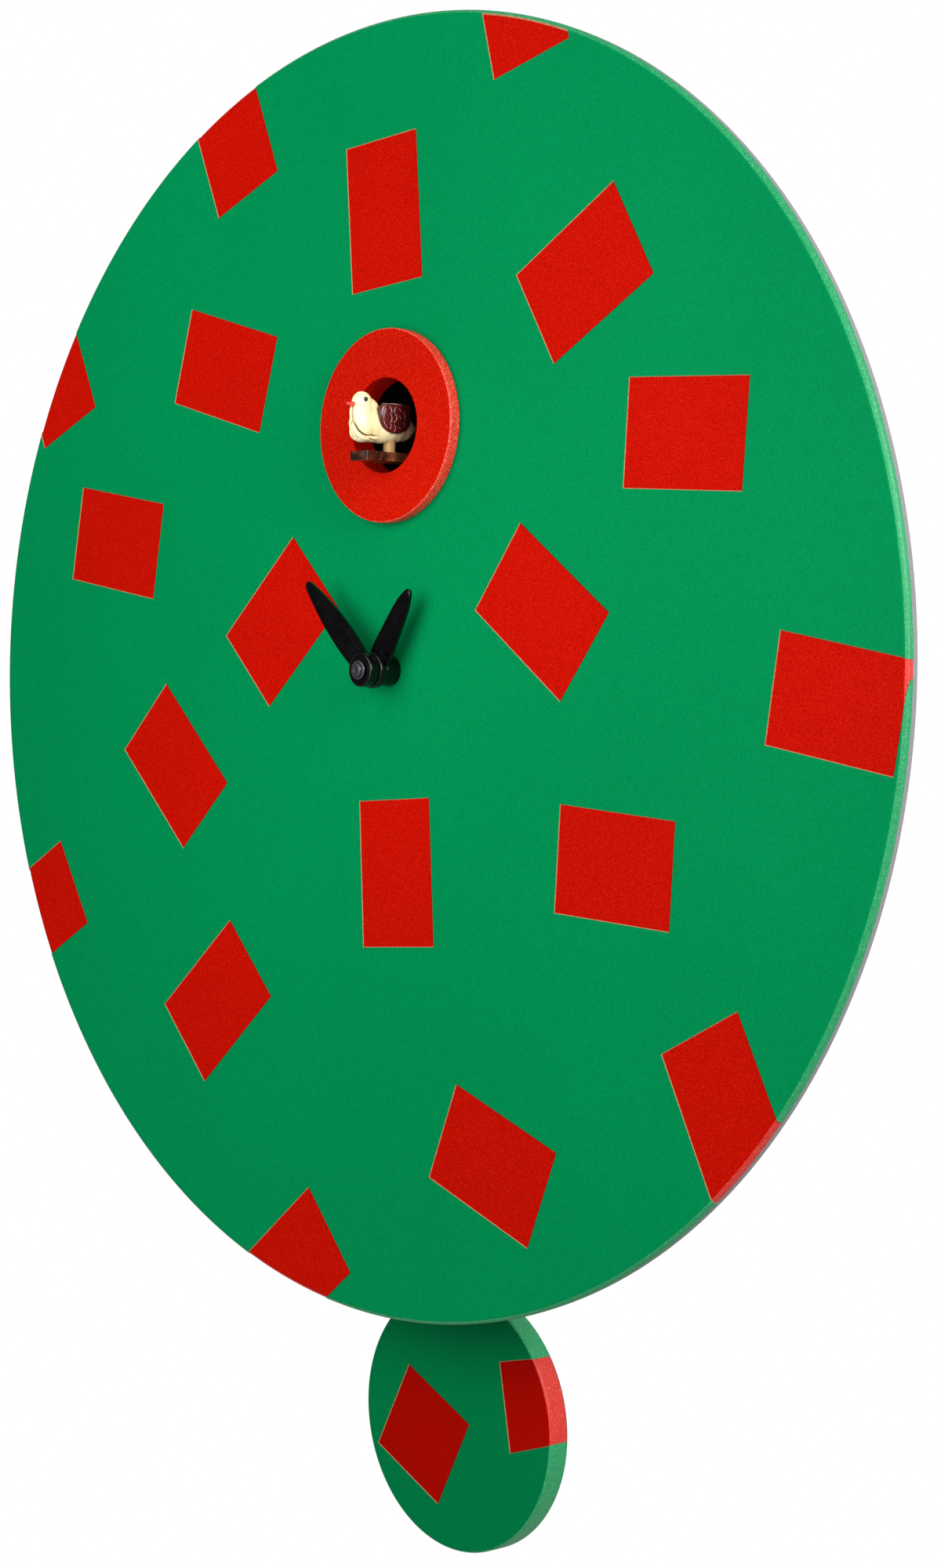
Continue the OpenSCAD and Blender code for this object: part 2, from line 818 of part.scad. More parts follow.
module bird_motor() {
    color([0.72, 0.72, 0.74])
    difference() {
        union() {
            translate([bp_x, bp_y, guide_top - 21]) cylinder(r = 6, h = 17);
            translate([bp_x, bp_y, guide_top - 22.5]) cylinder(r = 2, h = 2);
        }
        translate([bp_x, bp_y, guide_top - 10]) cylinder(r = 0.75 + fit, h = 8);
    }
}

module bird_pinion() {
    color([0.92, 0.92, 0.88]) {
        translate([bp_x, bp_y, plat_bottom + 0.2])
            linear_extrude(height = plat_top - plat_bottom - 0.4)
                gear_2d(rack_teeth, rack_module, 0);
        translate([bp_x, bp_y, guide_top - 9.5])
            cylinder(r = 0.75, h = plat_bottom + 1 - guide_top + 9.5);
    }
}

module pendulum_bracket() {
    color([0.12, 0.12, 0.13]) {
        slab_y(-15, -13) round_rect(-14, 14, pivot_z - 14, pivot_z + 30, 3);
        for (s = [-1, 1])
            rod_y(3, -13, cover_in, s * 9, pivot_z + 20);
        for (s = [-1, 1])
            rod_y(3, -13, cover_in, s * 9, pivot_z - 9);
        rod_y(pin_r, bob_mid - 6, -15, 0, pivot_z);
        rod_y(2.5, bob_mid + 2.8, -15, 0, pivot_z);
        // shelf under the coil
        translate([-7, bob_mid - 6, pivot_z + 16]) cube([14, -15 - bob_mid + 6, 1.5]);
    }
}

module drive_coil() {
    color([0.72, 0.42, 0.2])
    translate([0, bob_mid, pivot_z + 17.5])
        rotate_extrude()
            polygon([[1.5, 0], [6, 0], [6, 1], [5.4, 1], [5.4, 8], [6, 8], [6, 9], [1.5, 9]]);
}

module pendulum_arm() {
    color([0.86, 0.86, 0.82])
    difference() {
        union() {
            rod_y(4, bob_mid - 2.5, bob_mid + 2.5, 0, pivot_z);
            box_y(4, 10, bob_mid - 2, bob_mid + 2, 0, pivot_z + 6);
            box_y(4, 8, bob_mid - 2, bob_mid + 2, 0, pivot_z - 7);
            translate([0, bob_mid, rod_top - 6]) cylinder(r = 3, h = 11);
        }
        rod_y(pin_r + fit, bob_mid - 6, bob_mid + 6, 0, pivot_z);
        translate([0, bob_mid, rod_top - 7]) cylinder(r = rod_r, h = 7);
    }
}

module pendulum_magnet() {
    color([0.7, 0.7, 0.72])
    translate([0, bob_mid, pivot_z + 11]) cylinder(r = 3, h = 3);
}

module pivot_clip() {
    color([0.7, 0.7, 0.72])
    difference() {
        rod_y(2.8, bob_mid - 4.2, bob_mid - 3.4, 0, pivot_z);
        rod_y(pin_r, bob_mid - 6, bob_mid, 0, pivot_z);
    }
}

module pendulum_rod() {
    color([0.75, 0.75, 0.77])
    translate([0, bob_mid, -bob_drop + bob_r - 14])
        cylinder(r = rod_r, h = rod_top + bob_drop - bob_r + 14);
}

// the two red rectangles of the pendulum disc, measured from its centre
module bob_patch_2d(grow = 0) {
    intersection() {
        union() {
            translate([-13.2, -6.4]) rotate(-26.5) square(27.4, center = true);
            polygon([[17, 18.5], [21.4, -5.5], [60, 6.5], [60, 28]]);
        }
        circle(r = bob_r - 0.8);
    }
}

module pendulum_disc() {
    edge = 0.8;
    color([0, 0.4, 0.22])
    difference() {
        translate([0, bob_b, -bob_drop])
            rotate([90, 0, 0])
                rotate_extrude()
                    union() {
                        square([bob_r - edge, bob_thickness]);
                        translate([0, edge]) square([bob_r, bob_thickness - 2 * edge]);
                        translate([bob_r - edge, bob_thickness - edge]) circle(r = edge);
                        translate([bob_r - edge, edge]) circle(r = edge);
                    }
        slab_y(bob_f - 1, bob_f + patch_recess + paint) translate([0, -bob_drop]) bob_patch_2d();
        translate([0, bob_mid, -bob_drop + bob_r - 14]) cylinder(r = rod_r, h = 20);
    }
}

module pendulum_patches_paint() {
    color([0.75, 0.08, 0.03])
    slab_y(bob_f + patch_recess, bob_f + patch_recess + paint)
        translate([0, -bob_drop]) bob_patch_2d();
}

module volume_switch() {
    color([0.1, 0.1, 0.11])
    difference() {
        translate([inner_w - 8, side_y - 4, sw_z - 9]) cube([8, 8, 18]);
        translate([inner_w - 5, side_y - 2, sw_z - 7]) cube([6, 4, 14]);
    }
}

module volume_slider() {
    color([0.85, 0.85, 0.85]) {
        translate([inner_w - 4.6, side_y - 1.7, sw_z - 2]) cube([7.6, 3.4, 4]);
        translate([inner_w + 3, side_y - 1.7, sw_z - 1.5]) cube([2, 3.4, 3]);
    }
}

module button_switch() {
    color([0.1, 0.1, 0.11])
    difference() {
        translate([inner_w - 10, side_y - 4.5, btn_z - 4.5]) cube([6, 9, 9]);
        translate([inner_w - 7.5, side_y, btn_z]) rotate([0, 90, 0]) cylinder(r = 1.7, h = 6);
    }
}

module test_button() {
    color([0.8, 0.15, 0.1])
    translate([inner_w - 5.7, side_y, btn_z])
        rotate([0, 90, 0])
            union() {
                cylinder(r = 1.4, h = 4);
                translate([0, 0, 3.5]) cylinder(r = 3, h = 7.2);
            }
}

face_panel();
face_patches_paint();
bird_ring();
case_shell();
back_cover();
cover_screws();
panel_screws();
hanger_plate();
hanger_screws();
battery_tray();
battery_cells();
battery_contacts();
battery_cover();
speaker_frame();
speaker_cone();
circuit_board();
board_components();
movement_front();
movement_back();
movement_screws();
drive_unit();
drive_pinion();
minute_shaft();
centre_wheel();
minute_wheel();
setting_shaft();
set_knob();
hour_wheel();
hour_hand();
minute_hand();
bush_nut();
hand_nut();
bird_body();
bird_wings();
bird_beak();
bird_eyes();
bird_peg();
bird_platform();
bird_tunnel();
bird_guide();
guide_screws();
bird_motor();
bird_pinion();
pendulum_bracket();
drive_coil();
pendulum_arm();
pendulum_magnet();
pivot_clip();
pendulum_rod();
pendulum_disc();
pendulum_patches_paint();
volume_switch();
volume_slider();
button_switch();
test_button();
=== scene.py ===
"""Round modern cuckoo wall clock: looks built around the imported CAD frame."""
import math
import random

import bmesh
import bpy
import numpy as np
from mathutils import Matrix, Vector


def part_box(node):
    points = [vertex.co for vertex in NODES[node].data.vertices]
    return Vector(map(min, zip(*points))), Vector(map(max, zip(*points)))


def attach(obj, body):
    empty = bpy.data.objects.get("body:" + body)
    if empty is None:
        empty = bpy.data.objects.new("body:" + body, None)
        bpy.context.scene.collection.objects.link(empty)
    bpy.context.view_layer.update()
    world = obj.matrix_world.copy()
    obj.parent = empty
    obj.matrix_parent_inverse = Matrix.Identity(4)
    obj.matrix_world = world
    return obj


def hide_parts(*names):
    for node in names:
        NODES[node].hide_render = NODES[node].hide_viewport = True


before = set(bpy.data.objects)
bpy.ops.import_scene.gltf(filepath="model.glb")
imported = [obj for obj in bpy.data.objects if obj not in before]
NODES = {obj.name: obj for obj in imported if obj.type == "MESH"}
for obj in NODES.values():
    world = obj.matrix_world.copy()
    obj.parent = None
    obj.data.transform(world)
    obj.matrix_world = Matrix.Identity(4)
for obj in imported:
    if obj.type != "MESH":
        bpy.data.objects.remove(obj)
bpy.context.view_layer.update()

MM = 0.001
random.seed(7)


def node_box(name):
    """Lowest and highest corner of a CAD node, in millimetres."""
    lo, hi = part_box(name)
    return Vector(lo) / MM, Vector(hi) / MM


# ---------------------------------------------------------------- dimensions
PANEL_LO, PANEL_HI = node_box("face_panel")
FRONT = PANEL_LO.y                      # front of the face
BACK = PANEL_HI.y                       # back of the face
INSET = 0.03                            # the visual face stays this far inside the CAD face
FACE_R = (PANEL_HI.x - PANEL_LO.x) / 2 - INSET
RING_LO, RING_HI = node_box("bird_ring")
WINDOW_Z = (RING_LO.z + RING_HI.z) / 2
BOB_LO, BOB_HI = node_box("pendulum_disc")
BOB_Z = (BOB_LO.z + BOB_HI.z) / 2
BOB_R = (BOB_HI.x - BOB_LO.x) / 2
SLEEVE_R = 14.2                         # hole of the face around the ring's sleeve
BUSH_R = 3.65                           # hole of the face around the bush
PAINT_DEPTH = 0.14                      # red sits this far below the green
PAINT_SLOPE = 0.20                      # width of the green's feathered edge
PATCH_L, PATCH_W = 39.2, 27.4           # a red rectangle, uncut by the rim
FILM_SLIP = 0.25                        # most that a rectangle's corner is out of true
DISC_STEPS = 256                        # facets round the discs
BORE_STEPS = 72                         # facets round the bores, hubs and bush
BORE_TURN = 0.017                       # radians; keeps a bore's facets out of line with a disc's
OVERCUT = 1                             # how far a bore runs past the solid it cuts
WELD = 1e-7                             # metres; points closer than this become one
FLAT = 0.99999                          # Y part of the normal of a flat front or back
# degrees; an edge sharper than this stays crisp: on the discs, on other hard parts, on the bird
DISC_CREASE, HARD_CREASE, BIRD_CREASE = 28, 40, 80
# red rectangles: x, z, angle of the long side in degrees
PATCHES = [
    (-4.6, 123.3, 94.5), (70.5, 100, 30.4), (-70.7, 85.4, 164.5), (105.4, 57.9, 176.3),
    (-120.2, 38.1, 170.4), (56.5, 15.1, 143.2), (-45.4, 13.6, 43.2), (-92.1, -27.5, 135.1),
    (3.1, -54.4, 93.1), (83.3, -49.3, 176.1), (-71.9, -94.2, 42), (40.8, -128.8, 158.9),
    (154, -7.7, 170.2), (45.9, 175.4, 104.6), (-68.9, 152.4, 112.5), (-152, 91.5, 113.4),
    (-157.2, -73.1, 30.1), (121.3, -106, 117), (-37.7, -166.2, 39.8),
]


# ------------------------------------------------------------- mesh utilities
def new_object(name, mesh):
    obj = bpy.data.objects.new(name, mesh)
    bpy.context.scene.collection.objects.link(obj)
    return obj


def mesh_from_bm(name, bm):
    bmesh.ops.recalc_face_normals(bm, faces=bm.faces)
    mesh = bpy.data.meshes.new(name)
    bm.to_mesh(mesh)
    bm.free()
    return mesh


def baked(obj, *modifiers):
    """Applies modifiers to obj. Each is (type, {setting: value})."""
    for kind, settings in modifiers:
        m = obj.modifiers.new(kind.title(), kind)
        for key, value in settings.items():
            setattr(m, key, value)
    dg = bpy.context.evaluated_depsgraph_get()
    dg.update()
    mesh = bpy.data.meshes.new_from_object(obj.evaluated_get(dg))
    obj.modifiers.clear()
    old = obj.data
    obj.data = mesh
    bpy.data.meshes.remove(old)


def drop(obj):
    bpy.data.objects.remove(obj, do_unlink=True)


def cut(obj, tool):
    """Takes tool out of obj and drops it; the cut faces keep the tool's materials."""
    baked(obj, ("BOOLEAN", {"object": tool, "operation": "DIFFERENCE", "solver": "EXACT",
                            "material_mode": "TRANSFER"}))
    drop(tool)


def largest_shell(obj):
    """Drops the slivers that a boolean leaves hanging on the main shell."""
    bm = bmesh.new()
    bm.from_mesh(obj.data)
    bmesh.ops.remove_doubles(bm, verts=bm.verts, dist=WELD)
    bm.faces.ensure_lookup_table()
    seen_faces, shells = set(), []
    for start in bm.faces:
        if start in seen_faces:
            continue
        seen_faces.add(start)
        shell, queue = [], [start]
        while queue:
            f = queue.pop()
            shell.append(f)
            for g in (g for e in f.edges if len(e.link_faces) == 2 for g in e.link_faces):
                if g not in seen_faces:
                    seen_faces.add(g)
                    queue.append(g)
        shells.append(shell)
    shells.sort(key=len)
    bmesh.ops.delete(bm, geom=[f for shell in shells[:-1] for f in shell], context="FACES")
    rims = [e for e in bm.edges if e.is_boundary]
    if rims:
        filled = bmesh.ops.holes_fill(bm, edges=rims, sides=0)["faces"]
        bmesh.ops.triangulate(bm, faces=filled)
    bm.to_mesh(obj.data)
    bm.free()


def smooth(obj, angle, flat_front=False):
    """Smooth shading, with edges sharper than angle kept crisp."""
    bm = bmesh.new()
    bm.from_mesh(obj.data)
    bmesh.ops.remove_doubles(bm, verts=bm.verts, dist=WELD)
    limit = math.radians(angle)
    for f in bm.faces:
        f.smooth = not (flat_front and abs(f.normal.y) > FLAT)
    for e in bm.edges:
        paired = len(e.link_faces) == 2
        e.smooth = paired and e.calc_face_angle(0) < limit
        if flat_front and paired and e.link_faces[0].smooth != e.link_faces[1].smooth:
            e.smooth = False
    bm.to_mesh(obj.data)
    bm.free()
    return obj


def revolve(name, profile, steps, centre=(0, 0), turn=0.0):
    """Solid of revolution about Y. profile is (radius, y) in mm, going round once; turn in radians."""
    bm = bmesh.new()
    rings = []
    for r, y in profile:
        if r == 0:
            rings.append([bm.verts.new((centre[0] * MM, y * MM, centre[1] * MM))])
        else:
            rings.append([bm.verts.new(((centre[0] + r * math.cos(a)) * MM, y * MM,
                                        (centre[1] + r * math.sin(a)) * MM))
                          for a in (turn + 2 * math.pi * k / steps for k in range(steps))])
    for a, b in zip(rings, rings[1:] + rings[:1]):
        if len(a) == 1 and len(b) == 1:
            continue
        for k in range(steps):
            q = (k + 1) % steps
            if len(a) == 1:
                bm.faces.new((a[0], b[k], b[q]))
            elif len(b) == 1:
                bm.faces.new((a[k], a[q], b[0]))
            else:
                bm.faces.new((a[k], a[q], b[q], b[k]))
    return new_object(name, mesh_from_bm(name, bm))


def arc(cr, cy, r, start, end, steps=6):
    """Points of a circular arc in the (radius, y) plane, angles in degrees."""
    return [(cr + r * math.cos(math.radians(t)), cy + r * math.sin(math.radians(t)))
            for t in (start + (end - start) * k / steps for k in range(steps + 1))]


def disc_profile(radius, y0, y1, front_round, back_round):
    """Profile of a disc between y0 (front) and y1, with rounded outer edges."""
    return ([(0, y0)] + arc(radius - front_round, y0 + front_round, front_round, -90, 0, 12)
            + arc(radius - back_round, y1 - back_round, back_round, 0, 90, 4) + [(0, y1)])


def prism(name, outline, y0, y1, grow0, material):
    """Solid between y0 and y1 of a convex outline in (x, z) mm, its y0 end larger by grow0."""
    n = len(outline)
    cx = sum(p[0] for p in outline) / n
    cz = sum(p[1] for p in outline) / n
    normals = []
    for k in range(n):
        a, b = Vector(outline[k]), Vector(outline[(k + 1) % n])
        d = (b - a).normalized()
        out = Vector((d.y, -d.x))
        if out.dot((a + b) / 2 - Vector((cx, cz))) < 0:
            out = -out
        normals.append(out)
    front = []
    for k in range(n):
        p, u, v = Vector(outline[k]), normals[k - 1], normals[k]
        front.append(p + (u + v) * grow0 / (1 + u.dot(v)))
    bm = bmesh.new()
    a = [bm.verts.new((p[0] * MM, y0 * MM, p[1] * MM)) for p in front]
    b = [bm.verts.new((p[0] * MM, y1 * MM, p[1] * MM)) for p in outline]
    bm.faces.new(a)
    bm.faces.new(b)
    for k in range(n):
        bm.faces.new((a[k], a[(k + 1) % n], b[(k + 1) % n], b[k]))
    obj = new_object(name, mesh_from_bm(name, bm))
    obj.data.materials.append(material)
    return obj


def drill(obj, r, z, y0, y1, wall):
    """Bores obj right through between y0 and y1 and gives the bore its wall material."""
    bore = revolve("bore", [(0, y0 - OVERCUT), (r, y0 - OVERCUT), (r, y1 + OVERCUT), (0, y1 + OVERCUT)],
                   BORE_STEPS, (0, z), BORE_TURN)
    bore.data.materials.append(wall)
    cut(obj, bore)


def rectangle(x, z, angle, length=PATCH_L, width=PATCH_W):
    """Corners of a red rectangle, slightly out of true as cut masking film is."""
    c, s = math.cos(math.radians(angle)), math.sin(math.radians(angle))
    out = []
    for u, v in ((-1, -1), (1, -1), (1, 1), (-1, 1)):
        a = u * length / 2 + random.uniform(-FILM_SLIP, FILM_SLIP)
        b = v * width / 2 + random.uniform(-FILM_SLIP, FILM_SLIP)
        out.append((x + a * c - b * s, z + a * s + b * c))
    return out


# ------------------------------------------------------------------ materials
class Nodes:
    """A small builder of Principled materials with procedural detail."""

    def __init__(self, name):
        self.mat = bpy.data.materials.new(name)
        self.mat.use_nodes = True
        self.tree = self.mat.node_tree
        self.tree.nodes.clear()
        self.out = self.add("ShaderNodeOutputMaterial")
        self.bsdf = self.add("ShaderNodeBsdfPrincipled")
        self.link(self.bsdf.outputs[0], self.out.inputs[0])
        self.coords = self.add("ShaderNodeTexCoord").outputs["Object"]
        self.bumps = None

    def add(self, kind, **props):
        n = self.tree.nodes.new(kind)
        for k, v in props.items():
            setattr(n, k, v)
        return n

    def link(self, a, b):
        self.tree.links.new(a, b)

    def set(self, **values):
        for key, value in values.items():
            self.bsdf.inputs[key.replace("_", " ")].default_value = value

    def scaled(self, factors):
        n = self.add("ShaderNodeMapping")
        self.link(self.coords, n.inputs["Vector"])
        n.inputs["Scale"].default_value = factors
        return n.outputs[0]

    def noise(self, scale, detail=2.0, rough=0.5, vector=None):
        n = self.add("ShaderNodeTexNoise")
        self.link(vector or self.coords, n.inputs["Vector"])
        n.inputs["Scale"].default_value = scale
        n.inputs["Detail"].default_value = detail
        n.inputs["Roughness"].default_value = rough
        return n.outputs["Fac"]

    def cells(self, scale):
        n = self.add("ShaderNodeTexVoronoi", feature="F1")
        self.link(self.coords, n.inputs["Vector"])
        n.inputs["Scale"].default_value = scale
        return n.outputs["Distance"]

    def remap(self, value, a, b, lo=0.0, hi=1.0):
        n = self.add("ShaderNodeMapRange", clamp=True)
        self.link(value, n.inputs["Value"])
        for key, v in (("From Min", a), ("From Max", b), ("To Min", lo), ("To Max", hi)):
            n.inputs[key].default_value = v
        return n.outputs[0]

    def math(self, op, a, b=None):
        n = self.add("ShaderNodeMath", operation=op)
        for k, v in enumerate((a, b)):
            if v is None:
                continue
            if isinstance(v, (int, float)):
                n.inputs[k].default_value = v
            else:
                self.link(v, n.inputs[k])
        return n.outputs[0]

    def mix(self, fac, a, b):
        n = self.add("ShaderNodeMix", data_type="RGBA")
        self.link(fac, n.inputs["Factor"])
        for k, v in ((6, a), (7, b)):
            if isinstance(v, tuple):
                n.inputs[k].default_value = (*v, 1.0)
            else:
                self.link(v, n.inputs[k])
        return n.outputs[2]

    def colour(self, value):
        self.link(value, self.bsdf.inputs["Base Color"])

    def rough(self, value, lo, hi):
        self.link(self.remap(value, 0.25, 0.75, lo, hi), self.bsdf.inputs["Roughness"])

    def bump(self, height, strength, distance):
        n = self.add("ShaderNodeBump")
        n.inputs["Strength"].default_value = strength
        n.inputs["Distance"].default_value = distance
        self.link(height, n.inputs["Height"])
        if self.bumps is not None:
            self.link(self.bumps, n.inputs["Normal"])
        self.bumps = n.outputs[0]
        self.link(self.bumps, self.bsdf.inputs["Normal"])
        return self


def shade(c, k):
    return tuple(min(1.0, v * k) for v in c)


def lacquer(name, base, dark, light, grain=0.5, specks=True, worn_edge=None, gloss=0.015):
    """Sprayed lacquer: broad drift of tone, fine spatter grain, orange peel, a few specks."""
    m = Nodes(name)
    drift = m.remap(m.noise(9, 2), 0.3, 0.7)
    tone = m.mix(drift, dark, base)
    spatter = m.remap(m.noise(2300, 2, 0.6), 0.50, 0.68, 0.0, grain)
    tone = m.mix(spatter, tone, light)
    deep = m.remap(m.noise(1900, 2, 0.6), 0.50, 0.68, 0.0, grain)
    tone = m.mix(deep, tone, shade(dark, 0.78))
    if specks:
        mask = m.math("MULTIPLY", m.remap(m.cells(46), 0.0115, 0.007),
                      m.remap(m.noise(31, 1), 0.5, 0.56))
        tone = m.mix(mask, tone, shade(light, 1.5))
    if worn_edge:
        axes = m.add("ShaderNodeSeparateXYZ")
        m.link(m.coords, axes.inputs[0])
        x, z = axes.outputs["X"], axes.outputs["Z"]
        low = m.remap(z, worn_edge[0], worn_edge[1])
        r2 = m.math("ADD", m.math("MULTIPLY", x, x), m.math("MULTIPLY", z, z))
        rim = m.remap(m.math("SQRT", r2), FACE_R * MM - 0.0011, FACE_R * MM - 0.0002)
        chips = m.remap(m.noise(520, 4, 0.7), 0.34, 0.56)
        worn = m.math("MULTIPLY", m.math("MULTIPLY", low, rim), chips)
        tone = m.mix(worn, tone, (0.45, 0.62, 0.52))
    m.colour(tone)
    peel = m.noise(420, 2, 0.5)
    m.rough(peel, 0.44, 0.56)
    m.bump(peel, 0.12, 0.00012).bump(m.noise(3200, 1), 0.10, 0.00003)
    m.set(Specular_IOR_Level=gloss)
    return m.mat


GREEN = (0.0, 0.225, 0.066)
RED = (0.490, 0.003, 0.0)
mat_green = lacquer("lacquer_green", GREEN, shade(GREEN, 0.90), (0.0, 0.30, 0.11), 0.50,
                    worn_edge=(-0.168, -0.1735))
# the pendulum's green is a darker copy of the face's green: painted shade, as it hangs behind and below
# the face
mat_green_bob_shaded = lacquer("lacquer_green_pendulum_shaded", shade(GREEN, 0.86), shade(GREEN, 0.76),
                        (0.0, 0.25, 0.085), 0.30)
mat_red = lacquer("lacquer_red", RED, shade(RED, 0.86), (0.64, 0.018, 0.006), 0.7)
# the pendulum's red is a darker copy of the face's red: painted shade
mat_red_bob_shaded = lacquer("lacquer_red_pendulum_shaded", shade(RED, 0.80), shade(RED, 0.70),
                      (0.48, 0.006, 0.002), 0.40)
# edge lacquers: lighter copies of the green and red, a painted sheen on the rounded rims and sides
mat_green_edge_sheen = lacquer("lacquer_green_edge_sheen", (0.012, 0.30, 0.105), (0.006, 0.24, 0.075),
                         (0.10, 0.42, 0.22), 0.7, specks=False, gloss=0.4)
mat_red_edge_sheen = lacquer("lacquer_red_edge_sheen", (0.60, 0.028, 0.018), (0.54, 0.015, 0.008),
                       (0.78, 0.12, 0.08), 0.7, specks=False, gloss=0.4)
# the ring's side: a lighter copy of the ring's red with coarse spray grain, a painted sheen on the side
mat_ring_side_sheen = lacquer("lacquer_ring_side_sheen", (0.76, 0.035, 0.014), (0.64, 0.016, 0.006),
                        (0.95, 0.26, 0.17), 0.85, specks=False, gloss=0.4)
mat_ring = lacquer("lacquer_ring", (0.54, 0.006, 0.0), (0.40, 0.004, 0.0), (0.66, 0.02, 0.008), 0.9,
                   specks=False)


def plain(name, base, rough, var=0.15, grain=900, bump=(0.1, 0.00004), spec=0.5, **settings):
    """Moulded or painted surface: mottled tone, uneven gloss, fine texture."""
    m = Nodes(name)
    tone = m.mix(m.remap(m.noise(60, 3), 0.3, 0.7), shade(base, 1 - var), shade(base, 1 + var))
    m.colour(m.mix(m.remap(m.noise(grain * 2, 2), 0.62, 0.8, 0, 0.25), tone, shade(base, 0.7)))
    m.rough(m.noise(140, 3), rough - 0.06, rough + 0.08)
    m.bump(m.noise(grain, 2), *bump)
    m.set(Specular_IOR_Level=spec, **settings)
    return m.mat


def metal(name, base, rough, stretch=(60, 1500, 1500)):
    """Plated or brushed metal, drawn along one direction, with dull patches."""
    m = Nodes(name)
    lines = m.noise(1, 4, 0.6, m.scaled(stretch))
    m.colour(m.mix(m.remap(m.noise(220, 3), 0.35, 0.7), base, shade(base, 0.72)))
    m.rough(lines, rough - 0.08, rough + 0.14)
    m.bump(lines, 0.12, 0.00002)
    m.set(Metallic=1.0)
    return m.mat


def edge_paint():
    """The feathered step where the green ends: tan primer with crumbs, with painted shade, near-black, on
    the sides facing -X.
    """
    m = Nodes("paint_step")
    crumbs = m.remap(m.noise(1500, 3, 0.7), 0.35, 0.7)
    # painted shade: walls whose normal points towards -X get a near-black colour instead of the tan
    facing = m.add("ShaderNodeSeparateXYZ")
    m.link(m.add("ShaderNodeNewGeometry").outputs["Normal"], facing.inputs[0])
    lit = m.remap(facing.outputs["X"], -0.30, 0.0)
    tan = m.mix(crumbs, (0.40, 0.25, 0.12), (0.26, 0.10, 0.04))
    m.colour(m.mix(lit, (0.030, 0.010, 0.006), tan))
    m.rough(m.noise(900, 2), 0.5, 0.75)
    m.bump(m.noise(2400, 3), 0.3, 0.00005)
    m.set(Specular_IOR_Level=0.2)
    return m.mat


def wood(name, base, dark, scale):
    """Wood with its grain along Z."""
    m = Nodes(name)
    stretched = m.scaled((scale, scale, scale * 0.12))
    grain = m.noise(1, 5, 0.65, stretched)
    m.colour(m.mix(m.remap(grain, 0.35, 0.65), dark, base))
    m.rough(grain, 0.45, 0.62)
    m.bump(grain, 0.25, 0.00005)
    m.set(Specular_IOR_Level=0.3)
    return m.mat


def fibreboard():
    """Raw grey board behind the paint, its fibres lying flat."""
    m = Nodes("board_edge")
    fibre = m.noise(1, 4, 0.7, m.scaled((900, 5200, 900)))
    m.colour(m.mix(m.remap(fibre, 0.3, 0.7), (0.20, 0.19, 0.20), (0.29, 0.28, 0.29)))
    m.rough(fibre, 0.6, 0.8)
    m.bump(fibre, 0.3, 0.00006)
    m.set(Specular_IOR_Level=0.25)
    return m.mat


def gloss_black():
    """Black gloss enamel of the hands and the bush collar."""
    m = Nodes("hand_black")
    m.colour(m.mix(m.remap(m.noise(300, 3), 0.35, 0.7), (0.0006, 0.0005, 0.0007),
                   (0.0022, 0.0020, 0.0026)))
    m.rough(m.noise(500, 3), 0.14, 0.24)
    m.bump(m.noise(1400, 2), 0.08, 0.00003)
    m.set(Specular_IOR_Level=0.35)
    return m.mat


def painted_bird(name, base, dark, rough=0.32, crevice_shade=None):
    """Hand-painted resin; the crevice colour is painted shade, mixed in where surfaces are close, in folds
    and where parts meet.
    """
    m = Nodes(name)
    tone = m.mix(m.remap(m.noise(260, 3, 0.55), 0.35, 0.7), dark, base)
    if crevice_shade:
        # painted shade: ambient occlusion darkens the tone to brown in folds and where parts meet
        near = m.add("ShaderNodeAmbientOcclusion", samples=16)
        near.inputs["Distance"].default_value = 0.0011
        open_air = m.remap(near.outputs["AO"], 0.30, 0.92)
        tone = m.mix(open_air, crevice_shade, tone)
    m.colour(tone)
    m.rough(m.noise(700, 2), rough - 0.05, rough + 0.08)
    m.bump(m.noise(900, 2), 0.10, 0.00005)
    m.set(Specular_IOR_Level=0.45)
    return m.mat


def scuffed_brown(name, base, dark, marks):
    """Brown gloss paint with pale scuffs and dark blotches."""
    m = Nodes(name)
    blotch = m.remap(m.noise(520, 4, 0.7), 0.42, 0.6)
    tone = m.mix(blotch, dark, base)
    scuff = m.remap(m.noise(1, 3, 0.6, m.scaled((900, 900, 420))), 0.66, 0.74, 0, marks)
    m.colour(m.mix(scuff, tone, (0.52, 0.36, 0.24)))
    m.rough(m.noise(600, 3), 0.16, 0.36)
    m.bump(m.noise(800, 3), 0.2, 0.00006)
    return m.mat


mat_step = edge_paint()
mat_board = fibreboard()
mat_black = gloss_black()
mat_nut = plain("cap_gunmetal", (0.07, 0.07, 0.085), 0.26, spec=0.6, Metallic=0.7)
mat_case = plain("case_black", (0.022, 0.022, 0.024), 0.55, bump=(0.35, 0.00008), grain=1300)
mat_inner = plain("inner_black", (0.004, 0.004, 0.004), 0.8, spec=0.1)
mat_works = plain("works_natural", (0.62, 0.61, 0.57), 0.45)
mat_white = plain("slider_white", (0.7, 0.7, 0.69), 0.4)
mat_button = plain("button_red", (0.5, 0.03, 0.02), 0.4)
mat_zinc = metal("zinc", (0.62, 0.62, 0.64), 0.34)
mat_steel = metal("steel", (0.58, 0.58, 0.6), 0.3)
mat_brass = metal("brass", (0.72, 0.52, 0.2), 0.28)
mat_coil = metal("copper", (0.6, 0.26, 0.12), 0.36, (1500, 1500, 9000))
mat_cell = metal("cell_jacket", (0.36, 0.30, 0.12), 0.3)
mat_board_green = plain("solder_mask", (0.012, 0.12, 0.045), 0.35)
mat_parts = plain("moulded_parts", (0.02, 0.02, 0.022), 0.45)
